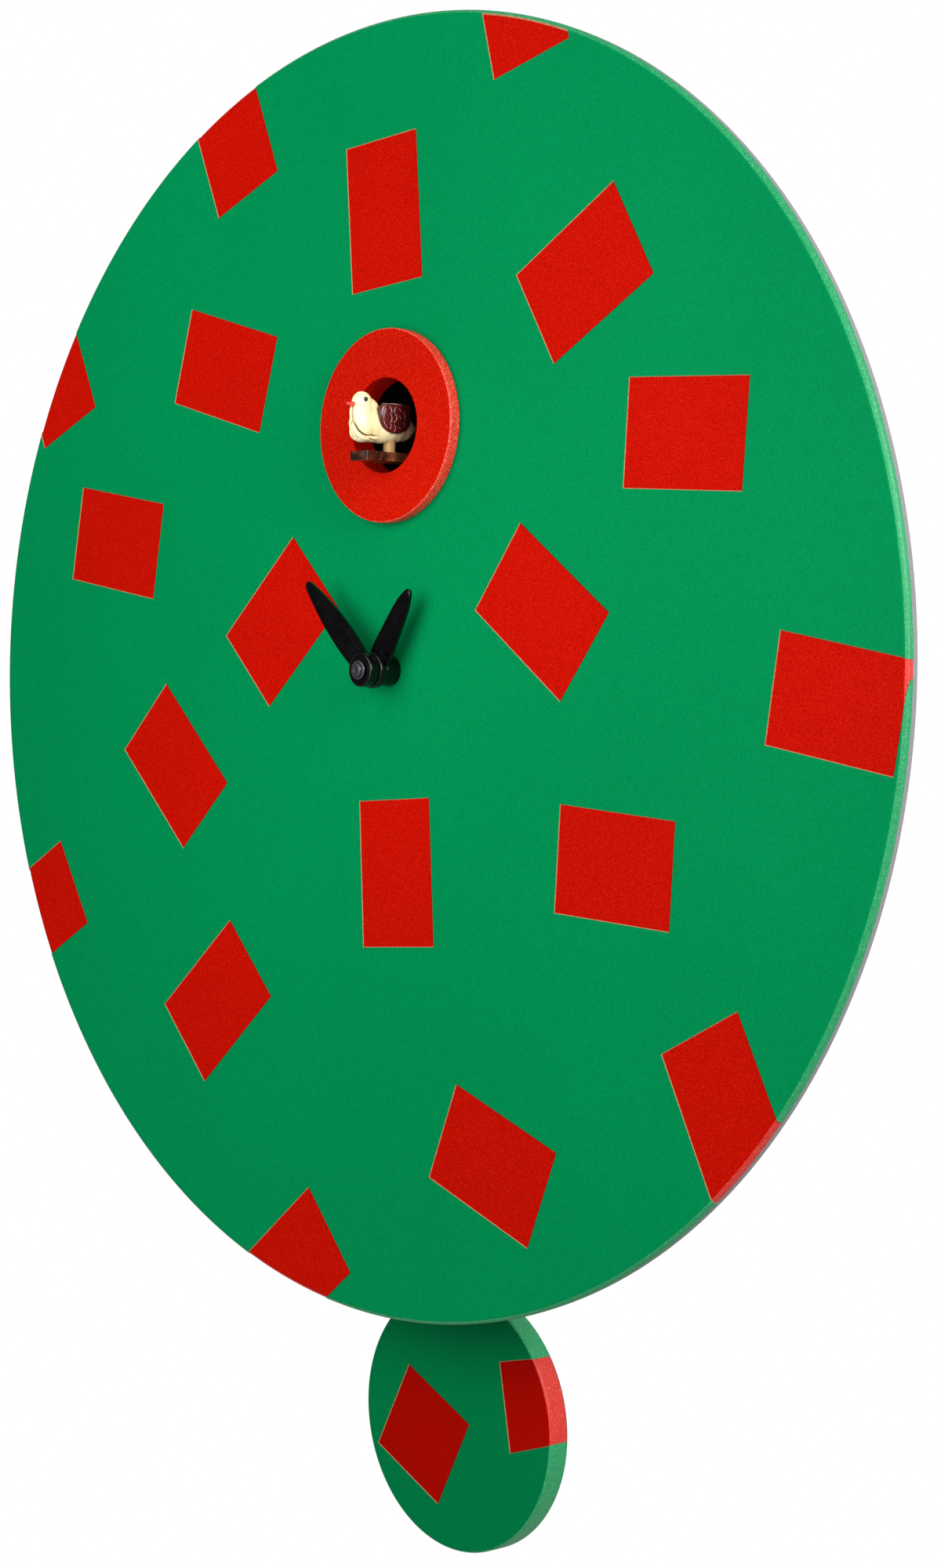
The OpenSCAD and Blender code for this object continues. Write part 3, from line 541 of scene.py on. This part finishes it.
mat_cone = plain("speaker_paper", (0.03, 0.028, 0.025), 0.85, spec=0.1, bump=(0.5, 0.0001))
# the cream's crevice colour is painted shade in the folds and contacts
mat_cream = painted_bird("bird_cream", (0.93, 0.84, 0.50), (0.90, 0.79, 0.43),
                         crevice_shade=(0.34, 0.22, 0.07))
mat_wing = painted_bird("wing_maroon", (0.115, 0.010, 0.009), (0.062, 0.006, 0.006), 0.24)
# the pale mark colour serves for the feather marks and for a painted highlight on the wing's top
mat_feather_and_highlight = painted_bird("feather_mark_and_highlight", (0.55, 0.42, 0.42), (0.26, 0.13, 0.13), 0.4)
mat_beak = painted_bird("beak_coral", (0.82, 0.085, 0.065), (0.68, 0.06, 0.045))
mat_eye = plain("eye_black", (0.004, 0.004, 0.01), 0.12, spec=0.7)
mat_peg = wood("peg_wood", (0.66, 0.42, 0.17), (0.44, 0.25, 0.09), 900)
mat_plat_front = scuffed_brown("platform_dark", (0.085, 0.022, 0.010), (0.018, 0.006, 0.004), 0.8)
mat_plat_rear = scuffed_brown("platform_brown", (0.20, 0.065, 0.022), (0.09, 0.026, 0.010), 0.35)


def finish_piece(obj, body, slot_name, *nodes):
    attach(obj, body)
    if nodes:
        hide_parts(*nodes)


# ----------------------------------------------------- painted discs and coats
GAP = 0.004                             # clear space between a red core and its green coat
PROUD, SUNK = 0.05, 0.02                # a mask's cutter passes the green by this in front, behind
SHEEN_BAND = 0.6                          # the edge's painted sheen starts this and half a rounding in
FRONT_FACING = -0.92                    # Y part of a normal below which a face is the front's
MIN_ROUND = 0.05                        # smallest rounding of a disc's back edge
FACE_ROUND, BOB_ROUND = 1.45, 0.75      # rounding of the front edge of the face and the pendulum


def painted_disc(name, radius, y0, y1, rounding, back_round, centre_z, patches, holes, coat_mat,
                 core_mat, core_back, body, nodes):
    """A red core with a thin green coat over it; the coat is open where masking film lay."""
    depth = PAINT_DEPTH

    def solid(tag, inset, back, mat):
        obj = revolve(tag, disc_profile(radius - inset, y0 + inset, back, rounding - inset / 2,
                                        max(back_round - inset / 2, MIN_ROUND)), DISC_STEPS, (0, centre_z))
        obj.data.materials.append(mat)
        return obj

    core = solid(name + "_core", depth, y1 - core_back, core_mat)
    coat = solid(name + "_coat", 0.0, y1, coat_mat)
    hollow = solid(name + "_hollow", depth - GAP, y1 - core_back + GAP, coat_mat)
    if core_back == 0:
        inner_r = radius - depth + GAP
        hollow_back = revolve(name + "_open", [(0, y1 - OVERCUT), (inner_r, y1 - OVERCUT),
                                               (inner_r, y1 + OVERCUT), (0, y1 + OVERCUT)],
                              DISC_STEPS, (0, centre_z))
        hollow_back.data.materials.append(coat_mat)
        cut(coat, hollow_back)
    cut(coat, hollow)
    feather = PAINT_SLOPE * (depth + (PROUD + SUNK)) / depth
    for outline, reach in patches:
        cut(coat, prism("mask", outline, y0 - PROUD, y0 + depth + SUNK, feather, mat_step))
        if reach:
            cut(coat, prism("mask_side", outline, y0 - PROUD, reach, 0.0, mat_step))
    for r, z, wall in holes:
        drill(coat, r, z, y0, y1, wall)
        drill(core, r, z, y0, y1, wall)
    # faces near the rim that don't face the front take the lighter edge lacquer: painted sheen
    rim_from = (radius - SHEEN_BAND - rounding / 2) * MM
    for obj, main, edge in ((coat, coat_mat, mat_green_edge_sheen), (core, core_mat, mat_red_edge_sheen)):
        names = [m.name for m in obj.data.materials]
        obj.data.materials.append(edge)
        for f in obj.data.polygons:
            at_rim = math.hypot(f.center.x, f.center.z - centre_z * MM) > rim_from
            if at_rim and names[f.material_index] == main.name and f.normal.y > FRONT_FACING:
                f.material_index = len(names)
        largest_shell(obj)
        smooth(obj, DISC_CREASE, True)
    finish_piece(coat, body, "green_lacquer", nodes[0])
    finish_piece(core, body, "red_lacquer", nodes[1])


COAT_BACK = FRONT + 2.1                 # the coat wraps this far round the edge
RIM_REACH = 1.6                         # a patch this close to the rim runs over it
BACK_INSET, BACK_FRONT_ROUND, BACK_ROUND = 0.15, 0.12, 0.35
face_patches = []
for x, z, a in PATCHES:
    outline = rectangle(x, z, a)
    over_rim = max(math.hypot(*p) for p in outline) > FACE_R - RIM_REACH
    face_patches.append((outline, COAT_BACK + 0.5 if over_rim else None))
painted_disc("face", FACE_R, FRONT, COAT_BACK, rounding=FACE_ROUND, back_round=MIN_ROUND, centre_z=0,
             patches=face_patches, holes=[(SLEEVE_R, WINDOW_Z, mat_red), (BUSH_R, 0, mat_green)],
             coat_mat=mat_green, core_mat=mat_red, core_back=0, body="clock_case",
             nodes=("face_panel", "face_patches_paint"))
backing = revolve("face_backing", disc_profile(FACE_R - BACK_INSET, COAT_BACK, BACK, BACK_FRONT_ROUND,
                                               BACK_ROUND), DISC_STEPS)
backing.data.materials.append(mat_board)
for r, z in ((SLEEVE_R, WINDOW_Z), (BUSH_R, 0)):
    drill(backing, r, z, FRONT, BACK, mat_board)
finish_piece(smooth(backing, DISC_CREASE, True), "clock_case", "green_lacquer", "face_panel")

# the pendulum's disc: one nearly square patch, and one that runs over the right edge
bob_square = rectangle(-13.2, BOB_Z - 6.4, -26.5, 27.4, 27.0)
bob_side = [(17.0, BOB_Z + 18.5), (21.4, BOB_Z - 5.5), (60, BOB_Z + 6.5), (60, BOB_Z + 28)]
painted_disc("bob", BOB_R, BOB_LO.y, BOB_HI.y, rounding=BOB_ROUND, back_round=BOB_ROUND, centre_z=BOB_Z,
             patches=[(bob_square, None), (bob_side, BOB_HI.y - PAINT_DEPTH)], holes=[],
             coat_mat=mat_green_bob_shaded, core_mat=mat_red_bob_shaded, core_back=PAINT_DEPTH, body="pendulum",
             nodes=("pendulum_disc", "pendulum_patches_paint"))


# ---------------------------------------------------------------------- hands
BLADE_HALF = 3.73                       # half the width of a blade at its widest
BLADE_EASE = 0.2                        # bevel of a blade's edges
TIP_R = 1.22
HUB_EASE = 0.5                          # rounding of a hub's edges


def bend(points, steps=6):
    """Open Catmull-Rom curve through points in a plane."""
    pts = [points[0]] + list(points) + [points[-1]]
    out = []
    for k in range(1, len(pts) - 2):
        p0, p1, p2, p3 = (np.array(pts[k + d], float) for d in (-1, 0, 1, 2))
        for q in range(steps):
            t = q / steps
            out.append(0.5 * (2 * p1 + (p2 - p0) * t + (2 * p0 - 5 * p1 + 4 * p2 - p3) * t * t
                              + (3 * p1 - p0 - 3 * p2 + p3) * t ** 3))
    return out + [np.array(points[-1], float)]


def hand(name, node, body, outline, length, hub_r, sunk, blade_y0, blade_y1, bore_r):
    """A flat pressed blade with eased edges, standing on a round bored hub."""
    lo, hi = node_box(node)
    far = [Vector((v.co.x, v.co.z)) / MM for v in NODES[node].data.vertices]
    d = max(far, key=lambda p: p.length).normalized()
    n = Vector((d.y, -d.x))
    left = [d * (length * f) - n * (w * BLADE_HALF) for f, w in outline]
    right = [d * (length * f) + n * (w * BLADE_HALF) for f, w in reversed(outline)]
    tip = [d * (length - TIP_R + TIP_R * math.sin(t)) - n * (TIP_R * math.cos(t))
           for t in (math.pi * k / 6 for k in range(7))]
    ring = [Vector(p) for p in bend([tuple(q) for q in left + [tip[0]]], 4)[:-1]]
    ring += tip[:-1] + [Vector(p) for p in bend([tuple(q) for q in [tip[-1]] + right], 4)]
    bm = bmesh.new()
    a = [bm.verts.new((p.x * MM, blade_y0 * MM, p.y * MM)) for p in ring]
    b = [bm.verts.new((p.x * MM, blade_y1 * MM, p.y * MM)) for p in ring]
    bm.faces.new(a)
    bm.faces.new(b)
    for k in range(len(ring)):
        q = (k + 1) % len(ring)
        bm.faces.new((a[k], a[q], b[q], b[k]))
    rim = [e for e in bm.edges if abs(e.verts[0].co.y - e.verts[1].co.y) < 1e-9]
    bmesh.ops.bevel(bm, geom=rim, offset=BLADE_EASE * MM, segments=3, affect="EDGES", profile=0.6)
    ease_r = hub_r - HUB_EASE
    hub = revolve(name + "_hub", [(bore_r, lo.y + sunk)]
                  + arc(ease_r, lo.y + sunk + HUB_EASE, HUB_EASE, -90, 0)
                  + arc(ease_r, hi.y - HUB_EASE, HUB_EASE, 0, 90) + [(bore_r, hi.y)], BORE_STEPS)
    bm.from_mesh(hub.data)
    drop(hub)
    obj = new_object(name, mesh_from_bm(name, bm))
    obj.data.materials.append(mat_black)
    finish_piece(smooth(obj, HARD_CREASE), body, "black_gloss", node)


# each pair is a share of the hand's length and a share of the blade's half width
MINUTE_OUTLINE = [(.066, .91), (.18, .93), (.27, .98), (.37, 1),
                  (.48, .96), (.61, .876), (.74, .718), (.88, .495)]
HOUR_OUTLINE = [(.12, .95), (.19, 1), (.3, 1), (.42, .925), (.58, .83), (.72, .737), (.846, .587)]
m_hi, h_hi = node_box("minute_hand")[1], node_box("hour_hand")[1]
hand("hand_minute", "minute_hand", "minute_train", MINUTE_OUTLINE, length=34.25, hub_r=4.55,
     sunk=0.9, blade_y0=m_hi.y - 0.92, blade_y1=m_hi.y - 0.02, bore_r=1.75)
hand("hand_hour", "hour_hand", "hour_train", HOUR_OUTLINE, length=25.25, hub_r=4.85,
     sunk=0.0, blade_y0=h_hi.y - 1.0, blade_y1=h_hi.y - 0.1, bore_r=2.65)

# the cap nut: a thin flange, then a raised middle with a shallow dimple
CAP_BACK = 0.85                         # the cap sits this far behind the CAD nut
CAP_BORE = 1.75
n_lo, n_hi = (p + Vector((0, CAP_BACK, 0)) for p in node_box("hand_nut"))
cap = revolve("hand_cap", [(CAP_BORE, n_hi.y)] + arc(2.35, n_lo.y + 1.05, 0.24, 60, -90, 5)
              + [(1.86, n_lo.y + 0.82)] + arc(1.45, n_lo.y + 0.42, 0.4, 0, -90, 5)
              + [(0.9, n_lo.y + 0.02), (0.55, n_lo.y + 0.10), (0, n_lo.y + 0.12),
                 (0, n_lo.y + 1.2), (CAP_BORE, n_lo.y + 1.2)], 64)
cap.data.materials.append(mat_nut)
finish_piece(smooth(cap, HARD_CREASE), "minute_train", "black_gloss", "hand_nut")

COLLAR_IN, COLLAR_OUT, COLLAR_EASE = 3.62, 4.15, 0.4
b_lo, b_hi = node_box("bush_nut")
bush = revolve("bush_collar", [(COLLAR_IN, b_lo.y)]
               + arc(COLLAR_OUT - COLLAR_EASE, b_lo.y + COLLAR_EASE, COLLAR_EASE, -60, 0, 5)
               + [(COLLAR_OUT, b_hi.y), (COLLAR_IN, b_hi.y)], BORE_STEPS)
bush.data.materials.append(mat_black)
finish_piece(smooth(bush, HARD_CREASE), "clock_case", "black_gloss", "bush_nut")


# ----------------------------------------------------------------------- bird
def blob(name, parts, voxel, passes):
    """One smooth skin round a set of super-ellipsoids: (y, z, x, ry, rz, rx, tilt, power)."""
    bm = bmesh.new()
    for y, z, x, ry, rz, rx, tilt, power in parts:
        made = bmesh.ops.create_icosphere(bm, subdivisions=5, radius=1.0)["verts"]
        turn = Matrix.Rotation(math.radians(tilt), 4, "X")
        for v in made:
            p = Vector([math.copysign(abs(q) ** power, q) for q in v.co])
            q = turn @ Vector((p.x * rx, p.y * ry, p.z * rz))
            v.co = Vector(((x + q.x) * MM, (FRONT + y + q.y) * MM, (z + q.z) * MM))
    obj = new_object(name, mesh_from_bm(name, bm))
    baked(obj, ("REMESH", {"mode": "VOXEL", "voxel_size": voxel * MM}),
          ("SMOOTH", {"factor": 0.5, "iterations": passes}))
    return obj


def points_of(obj):
    co = np.empty(len(obj.data.vertices) * 3)
    obj.data.vertices.foreach_get("co", co)
    return co.reshape(-1, 3) / MM


def put_points(obj, co):
    obj.data.vertices.foreach_set("co", (co * MM).ravel())
    obj.data.update()


def curve_distance(y, z, pts):
    """Distance to a polyline in the (y, z) plane, and which side of it each point lies on."""
    best, side = np.full(len(y), 1e9), np.zeros(len(y))
    for (ay, az), (by, bz) in zip(pts, pts[1:]):
        dy, dz = by - ay, bz - az
        t = np.clip(((y - ay) * dy + (z - az) * dz) / (dy * dy + dz * dz), 0, 1)
        ey, ez = y - (ay + t * dy), z - (az + t * dz)
        d = np.hypot(ey, ez)
        near = d < best
        best = np.where(near, d, best)
        side = np.where(near, np.sign(dy * ez - dz * ey), side)
    return best, side


SIDE, RISE = 0.966, 0.13              # how far a point on the bird's flank looks shifted in the view


def seen(co):
    """Points as they look from the front right, on the bird's middle plane."""
    x = np.abs(co[:, 0])
    return co[:, 1] - FRONT + SIDE * x, co[:, 2] + RISE * x


def face_points(obj):
    centres = np.empty(len(obj.data.polygons) * 3)
    obj.data.polygons.foreach_get("center", centres)
    return centres.reshape(-1, 3) / MM


def push_out(obj, amount):
    normal = np.empty(len(amount) * 3)
    obj.data.vertices.foreach_get("normal", normal)
    put_points(obj, points_of(obj) + normal.reshape(-1, 3) * amount[:, None])


# the bird's body from head to tail: y, z, x, ry, rz, rx, tilt, power
body_parts = [
    (-11.25, 71.0, 0, 3.0, 3.1, 2.4, 0, 1.0),
    (-8.6, 69.4, 0, 3.9, 2.9, 2.3, -40, 1.0),
    (-11.4, 68.3, 0, 3.45, 3.7, 2.9, 0, 1.0),
    (-11.0, 65.1, 0, 3.8, 4.6, 3.3, 0, 0.94),
    (-8.2, 65.6, 0, 5.0, 4.95, 3.5, -10, 1.0),
    (-5.0, 65.3, 0, 5.9, 4.7, 3.6, 0, 1.0),
    (-2.3, 65.5, 0, 5.4, 4.65, 3.5, 0, 1.0),
    (0.3, 65.7, 0, 5.0, 4.6, 3.3, 0, 1.0),
    (0.5, 67.6, 0, 3.4, 4.1, 1.5, 0, 0.55),
    (2.6, 65.1, 0, 4.6, 3.6, 2.7, 6, 1.0),
    (4.0, 64.6, 0, 4.3, 2.1, 1.9, 14, 1.0),
]
# the breast's groove runs down from the throat and parts into two folds: x, z seen from the front
fold = bend([(0.0, 69.9), (0.0, 67.4), (0.25, 65.8), (0.83, 64.7), (1.45, 63.4), (2.2, 62.2),
             (3.2, 60.9)])
# two more folds, y, z as seen from the front right, each with its depth and width
under = [(bend([(-15.0, 69.7), (-15.2, 67.3), (-14.9, 64.8), (-13.7, 62.6), (-12.3, 61.5)]), 0.40, 0.24),
         (bend([(-13.8, 65.8), (-13.2, 64.7), (-11.6, 63.3), (-9.1, 62.1), (-6.3, 61.1)]), 0.45, 0.26)]
GROOVE_DEPTH, GROOVE_WIDTH = 0.75, 0.26
STEP_HEIGHT, STEP_WIDTH = 0.34, 1.3     # the groove's outer side stands lower than its inner side
STEP_TOP, STEP_FADE = 66.5, 2           # height where the step starts; it is full this far below
BREAST_BACK, BREAST_FADE = -7.0, 2.5    # the folds end this far in front of the face
voxel = 0.16
bird = blob("bird_figure", body_parts, voxel, 34)
co = points_of(bird)
front = np.clip((BREAST_BACK - (co[:, 1] - FRONT)) / BREAST_FADE, 0, 1)
d, side = curve_distance(np.abs(co[:, 0]), co[:, 2], fold)
groove = -GROOVE_DEPTH * np.exp(-(d / GROOVE_WIDTH) ** 2)
below = np.clip((STEP_TOP - co[:, 2]) / STEP_FADE, 0, 1)
step = STEP_HEIGHT * side * np.exp(-(d / STEP_WIDTH) ** 2) * below
push = groove - step
for pts, depth, width in under:
    d = curve_distance(*seen(co), pts)[0]
    push -= depth * np.exp(-(d / width) ** 2)
push_out(bird, push * front)
bird.data.materials.append(mat_cream)
finish_piece(smooth(bird, BIRD_CREASE), "bird_carriage", "bird_cream", "bird_body")

# wings: a rounded shield with a flat top and engraved, picked-out feather marks; the top's outer strip
# takes the pale mark colour as a painted highlight
strokes = [bend(p) for p in (
    [(-1.0, 70.8), (-0.45, 70.2), (-0.2, 69.3)], [(1.25, 70.7), (0.8, 70.1), (0.8, 69.5)],
    [(-0.75, 69.0), (-0.2, 68.2), (-0.2, 67.2), (-0.6, 66.8)],
    [(1.0, 69.1), (1.55, 68.4), (1.5, 67.4), (0.6, 66.7)],
    [(-0.6, 66.3), (-0.4, 65.6), (-0.8, 64.8)], [(0.8, 66.0), (1.2, 65.2), (0.9, 64.5), (0.5, 64.0)],
    [(-2.6, 70.0), (-3.0, 68.7), (-3.1, 67.3), (-2.7, 66.0)], [(-2.3, 65.9), (-1.9, 65.2)],
    [(2.5, 70.4), (3.0, 69.8)], [(2.6, 68.4), (3.1, 67.8)], [(2.2, 65.6), (2.9, 65.2)],
    [(4.2, 69.6), (4.6, 68.6), (4.4, 67.6)], [(4.2, 66.9), (4.5, 66.0)],
)]
WING_TOP, TOP_SQUASH = 70.95, 0.10      # above this height the wing is pressed nearly flat
WING_SIDE, SIDE_FADE = 3.9, 0.4         # the strokes start this far from the bird's middle plane
STROKE_DEPTH, STROKE_WIDTH, MARK_WIDTH = 0.11, 0.14, 0.085
for sign, tag in ((-1, "left"), (1, "right")):
    wing = blob("bird_wing_" + tag, [(-2.5, 68.0, sign * 3.45, 5.75, 4.75, 1.4, 0, 0.9),
                                     (-1.8, 69.5, sign * 3.3, 4.75, 2.6, 1.3, 0, 0.6)], voxel * 0.62, 5)
    co = points_of(wing)
    co[:, 2] = np.where(co[:, 2] > WING_TOP, WING_TOP + (co[:, 2] - WING_TOP) * TOP_SQUASH, co[:, 2])
    put_points(wing, co)
    outer = np.clip((np.abs(co[:, 0]) - WING_SIDE) / SIDE_FADE, 0, 1)
    push = np.zeros(len(co))
    for pts in strokes:
        d = curve_distance(*seen(co), pts)[0]
        push = np.minimum(push, -STROKE_DEPTH * np.exp(-(d / STROKE_WIDTH) ** 2))
    push_out(wing, push * outer)
    for m in (mat_wing, mat_feather_and_highlight):
        wing.data.materials.append(m)
    centres = face_points(wing)
    marks = np.zeros(len(centres), int)
    for pts in strokes:
        d = curve_distance(*seen(centres), pts)[0]
        marks[(d < MARK_WIDTH) & (np.abs(centres[:, 0]) > 4.0)] = 1
    # painted highlight: the outer strip of the wing's flat top takes the pale mark colour
    top_highlight = (centres[:, 2] > WING_TOP - 0.06) & (np.abs(centres[:, 0]) > 3.6)
    marks[top_highlight & (seen(centres)[0] < 3.4)] = 1
    wing.data.polygons.foreach_set("material_index", marks)
    finish_piece(smooth(wing, BIRD_CREASE), "bird_carriage", "bird_maroon", "bird_wings")

# beak: two short halves with the mouth line between them
beak = blob("bird_bill", [
    (-15.1, 70.68, 0, 1.8, 0.33, 0.62, 4, 1.0),
    (-14.95, 70.2, 0, 1.6, 0.29, 0.52, -3, 1.0),
    (-14.2, 70.45, 0, 0.5, 0.6, 0.7, 0, 1.0),
], 0.06, 2)
beak.data.materials.append(mat_beak)
finish_piece(smooth(beak, BIRD_CREASE), "bird_carriage", "beak_coral", "bird_beak")
for sign, tag in ((-1, "left"), (1, "right")):
    eye = blob("bird_eye_" + tag, [(-11.9, 71.8, sign * 2.3, 0.58, 0.64, 0.48, 0, 1.0)], 0.045, 1)
    eye.data.materials.append(mat_eye)
    finish_piece(smooth(eye, BIRD_CREASE), "bird_carriage", "black_gloss", "bird_eyes")

# ring: turned, with eased edges
RING_R, OPENING_R = (RING_HI.x - RING_LO.x) / 2, 12.7
OUTER_EASE, INNER_EASE = 0.45, 0.5
ring = revolve("window_ring", [(SLEEVE_R, RING_HI.y), (SLEEVE_R, FRONT + 0.02),
                               (RING_R - 0.2, FRONT + 0.02), (RING_R, FRONT - 0.2)]
               + arc(RING_R - OUTER_EASE, RING_LO.y + OUTER_EASE, OUTER_EASE, 0, -90, 6)
               + arc(OPENING_R + INNER_EASE, RING_LO.y + INNER_EASE, INNER_EASE, -90, -180, 6)
               + [(OPENING_R, RING_HI.y)], 192, (0, WINDOW_Z))
for m in (mat_ring, mat_ring_side_sheen):
    ring.data.materials.append(m)
# outward faces behind the face's front take the lighter side lacquer: painted sheen
for f in ring.data.polygons:
    outward = math.hypot(f.center.x, f.center.z - WINDOW_Z * MM) > (RING_R - 0.35) * MM
    f.material_index = 1 if outward and f.center.y < FRONT * MM else 0
finish_piece(smooth(ring, HARD_CREASE, True), "clock_case", "red_lacquer", "bird_ring")

# the brown bar: a dark scuffed front block and a lighter rear, bevelled
p_lo, p_hi = node_box("bird_platform")


def bar(name, x0, x1, y0, y1, z0, z1, mat, bevel):
    bm = bmesh.new()
    bmesh.ops.create_cube(bm, size=1.0)
    for v in bm.verts:
        v.co = Vector((((x0 + x1) / 2 + v.co.x * (x1 - x0)) * MM,
                       ((y0 + y1) / 2 + v.co.y * (y1 - y0)) * MM,
                       ((z0 + z1) / 2 + v.co.z * (z1 - z0)) * MM))
    bmesh.ops.bevel(bm, geom=list(bm.edges), offset=bevel * MM, segments=3, affect="EDGES", profile=0.6)
    obj = new_object(name, mesh_from_bm(name, bm))
    obj.data.materials.append(mat)
    return smooth(obj, HARD_CREASE)


front_block = bar("platform_front", -3.45, 3.45, p_lo.y - 0.06, FRONT - 5.0, p_lo.z - 0.05, p_hi.z + 0.05,
                  mat_plat_front, 0.16)
finish_piece(front_block, "bird_carriage", "platform_brown")

# -------------------------------------------------- materials of the CAD nodes
NODE_MATERIALS = {
    "bird_platform": mat_plat_rear, "bird_peg": mat_peg,
    "case_shell": mat_case, "back_cover": mat_case, "battery_cover": mat_case, "set_knob": mat_case,
    "battery_tray": mat_case, "bird_guide": mat_inner, "bird_tunnel": mat_inner,
    "pendulum_bracket": mat_case, "volume_switch": mat_case, "button_switch": mat_case,
    "cover_screws": mat_zinc, "panel_screws": mat_zinc, "hanger_screws": mat_zinc,
    "guide_screws": mat_zinc, "movement_screws": mat_zinc,
    "hanger_plate": mat_steel, "battery_contacts": mat_steel, "speaker_frame": mat_steel,
    "bird_motor": mat_steel, "pendulum_magnet": mat_steel, "pivot_clip": mat_steel,
    "pendulum_rod": mat_steel, "battery_cells": mat_cell, "speaker_cone": mat_cone,
    "circuit_board": mat_board_green, "board_components": mat_parts,
    "movement_front": mat_works, "movement_back": mat_works, "minute_wheel": mat_works,
    "setting_shaft": mat_works, "hour_wheel": mat_works, "bird_pinion": mat_inner,
    "pendulum_arm": mat_works, "drive_unit": mat_coil, "drive_coil": mat_coil,
    "drive_pinion": mat_brass, "minute_shaft": mat_brass, "centre_wheel": mat_brass,
    "volume_slider": mat_white, "test_button": mat_button,
}
for name, mat in NODE_MATERIALS.items():
    NODES[name].data.materials.clear()
    NODES[name].data.materials.append(mat)

# ------------------------------------------------------------ camera and stage
LENS, SENSOR = 71.6, 36                 # millimetres
TARGET = Vector((31.5, FRONT, -29.7)) * MM
AZIMUTH, ELEVATION, ROLL, DISTANCE = (math.radians(46.0), math.radians(1.38),
                                      math.radians(0.62), 0.8167)
back = Vector((math.sin(AZIMUTH) * math.cos(ELEVATION), -math.cos(AZIMUTH) * math.cos(ELEVATION),
               math.sin(ELEVATION)))
right0 = Vector((math.cos(AZIMUTH), math.sin(AZIMUTH), 0))
up0 = back.cross(right0)
right = right0 * math.cos(ROLL) + up0 * math.sin(ROLL)
up = up0 * math.cos(ROLL) - right0 * math.sin(ROLL)
camera = bpy.data.objects.new("camera", bpy.data.cameras.new("camera"))
bpy.context.scene.collection.objects.link(camera)
camera.data.lens = LENS
camera.data.sensor_width = SENSOR
camera.data.clip_start = 0.01
camera.matrix_world = Matrix((
    (right.x, up.x, back.x, 0), (right.y, up.y, back.y, 0), (right.z, up.z, back.z, 0), (0, 0, 0, 1)))
camera.location = TARGET + back * DISTANCE
bpy.context.scene.camera = camera


def area(name, where, target, size, power):
    """A round soft light at where, turned to target."""
    light = bpy.data.lights.new(name, "AREA")
    light.shape = "DISK"
    light.size = size
    light.energy = power
    obj = bpy.data.objects.new(name, light)
    bpy.context.scene.collection.objects.link(obj)
    obj.location = where
    obj.rotation_mode = "QUATERNION"
    obj.rotation_quaternion = (Vector(target) - Vector(where)).to_track_quat("-Z", "Y")


# where, target and size in metres, power in watts
area("key", (0.0, -0.48, 0.10), (0.0, -0.05, 0.0), 0.50, 2.4)
area("near", (0.66, -0.78, 0.10), (0.02, -0.05, 0.0), 0.55, 1.1)
area("side", (1.10, -0.20, 0.42), (0, -0.06, -0.02), 0.7, 15.0)

# even white to the camera; the light it gives grows from the front of the room to the back
world = bpy.data.worlds.new("studio")
bpy.context.scene.world = world
world.use_nodes = True
tree = world.node_tree
tree.nodes.clear()
coords = tree.nodes.new("ShaderNodeTexCoord")
split = tree.nodes.new("ShaderNodeSeparateXYZ")
ramp = tree.nodes.new("ShaderNodeMapRange")
ramp.inputs["From Min"].default_value = -0.5
ramp.inputs["From Max"].default_value = 0.35
ramp.inputs["To Min"].default_value = 0.05
ramp.inputs["To Max"].default_value = 0.6
sky = tree.nodes.new("ShaderNodeBackground")
white = tree.nodes.new("ShaderNodeBackground")
path = tree.nodes.new("ShaderNodeLightPath")
both = tree.nodes.new("ShaderNodeMixShader")
end = tree.nodes.new("ShaderNodeOutputWorld")
tree.links.new(coords.outputs["Generated"], split.inputs[0])
tree.links.new(split.outputs["Y"], ramp.inputs["Value"])
tree.links.new(ramp.outputs[0], sky.inputs["Strength"])
tree.links.new(path.outputs["Is Camera Ray"], both.inputs[0])
tree.links.new(sky.outputs[0], both.inputs[1])
tree.links.new(white.outputs[0], both.inputs[2])
tree.links.new(both.outputs[0], end.inputs[0])
sky.inputs["Color"].default_value = (1, 1, 1, 1)
white.inputs["Color"].default_value = (1, 1, 1, 1)

floor_mat = Nodes("floor_white")
floor_mat.colour(floor_mat.mix(floor_mat.noise(3, 2), (0.93, 0.93, 0.93), (0.96, 0.96, 0.96)))
floor_mat.set(Roughness=0.9, Specular_IOR_Level=0.0)
FLOOR_Z, FLOOR_R = -1.1, 2.9
bm = bmesh.new()
bmesh.ops.create_circle(bm, cap_ends=True, radius=FLOOR_R, segments=96)
bmesh.ops.translate(bm, verts=bm.verts, vec=(0, 0, FLOOR_Z))
floor_mesh = mesh_from_bm("floor", bm)
floor_mesh.materials.append(floor_mat.mat)
new_object("floor", floor_mesh)

bpy.context.scene.view_settings.view_transform = "Standard"
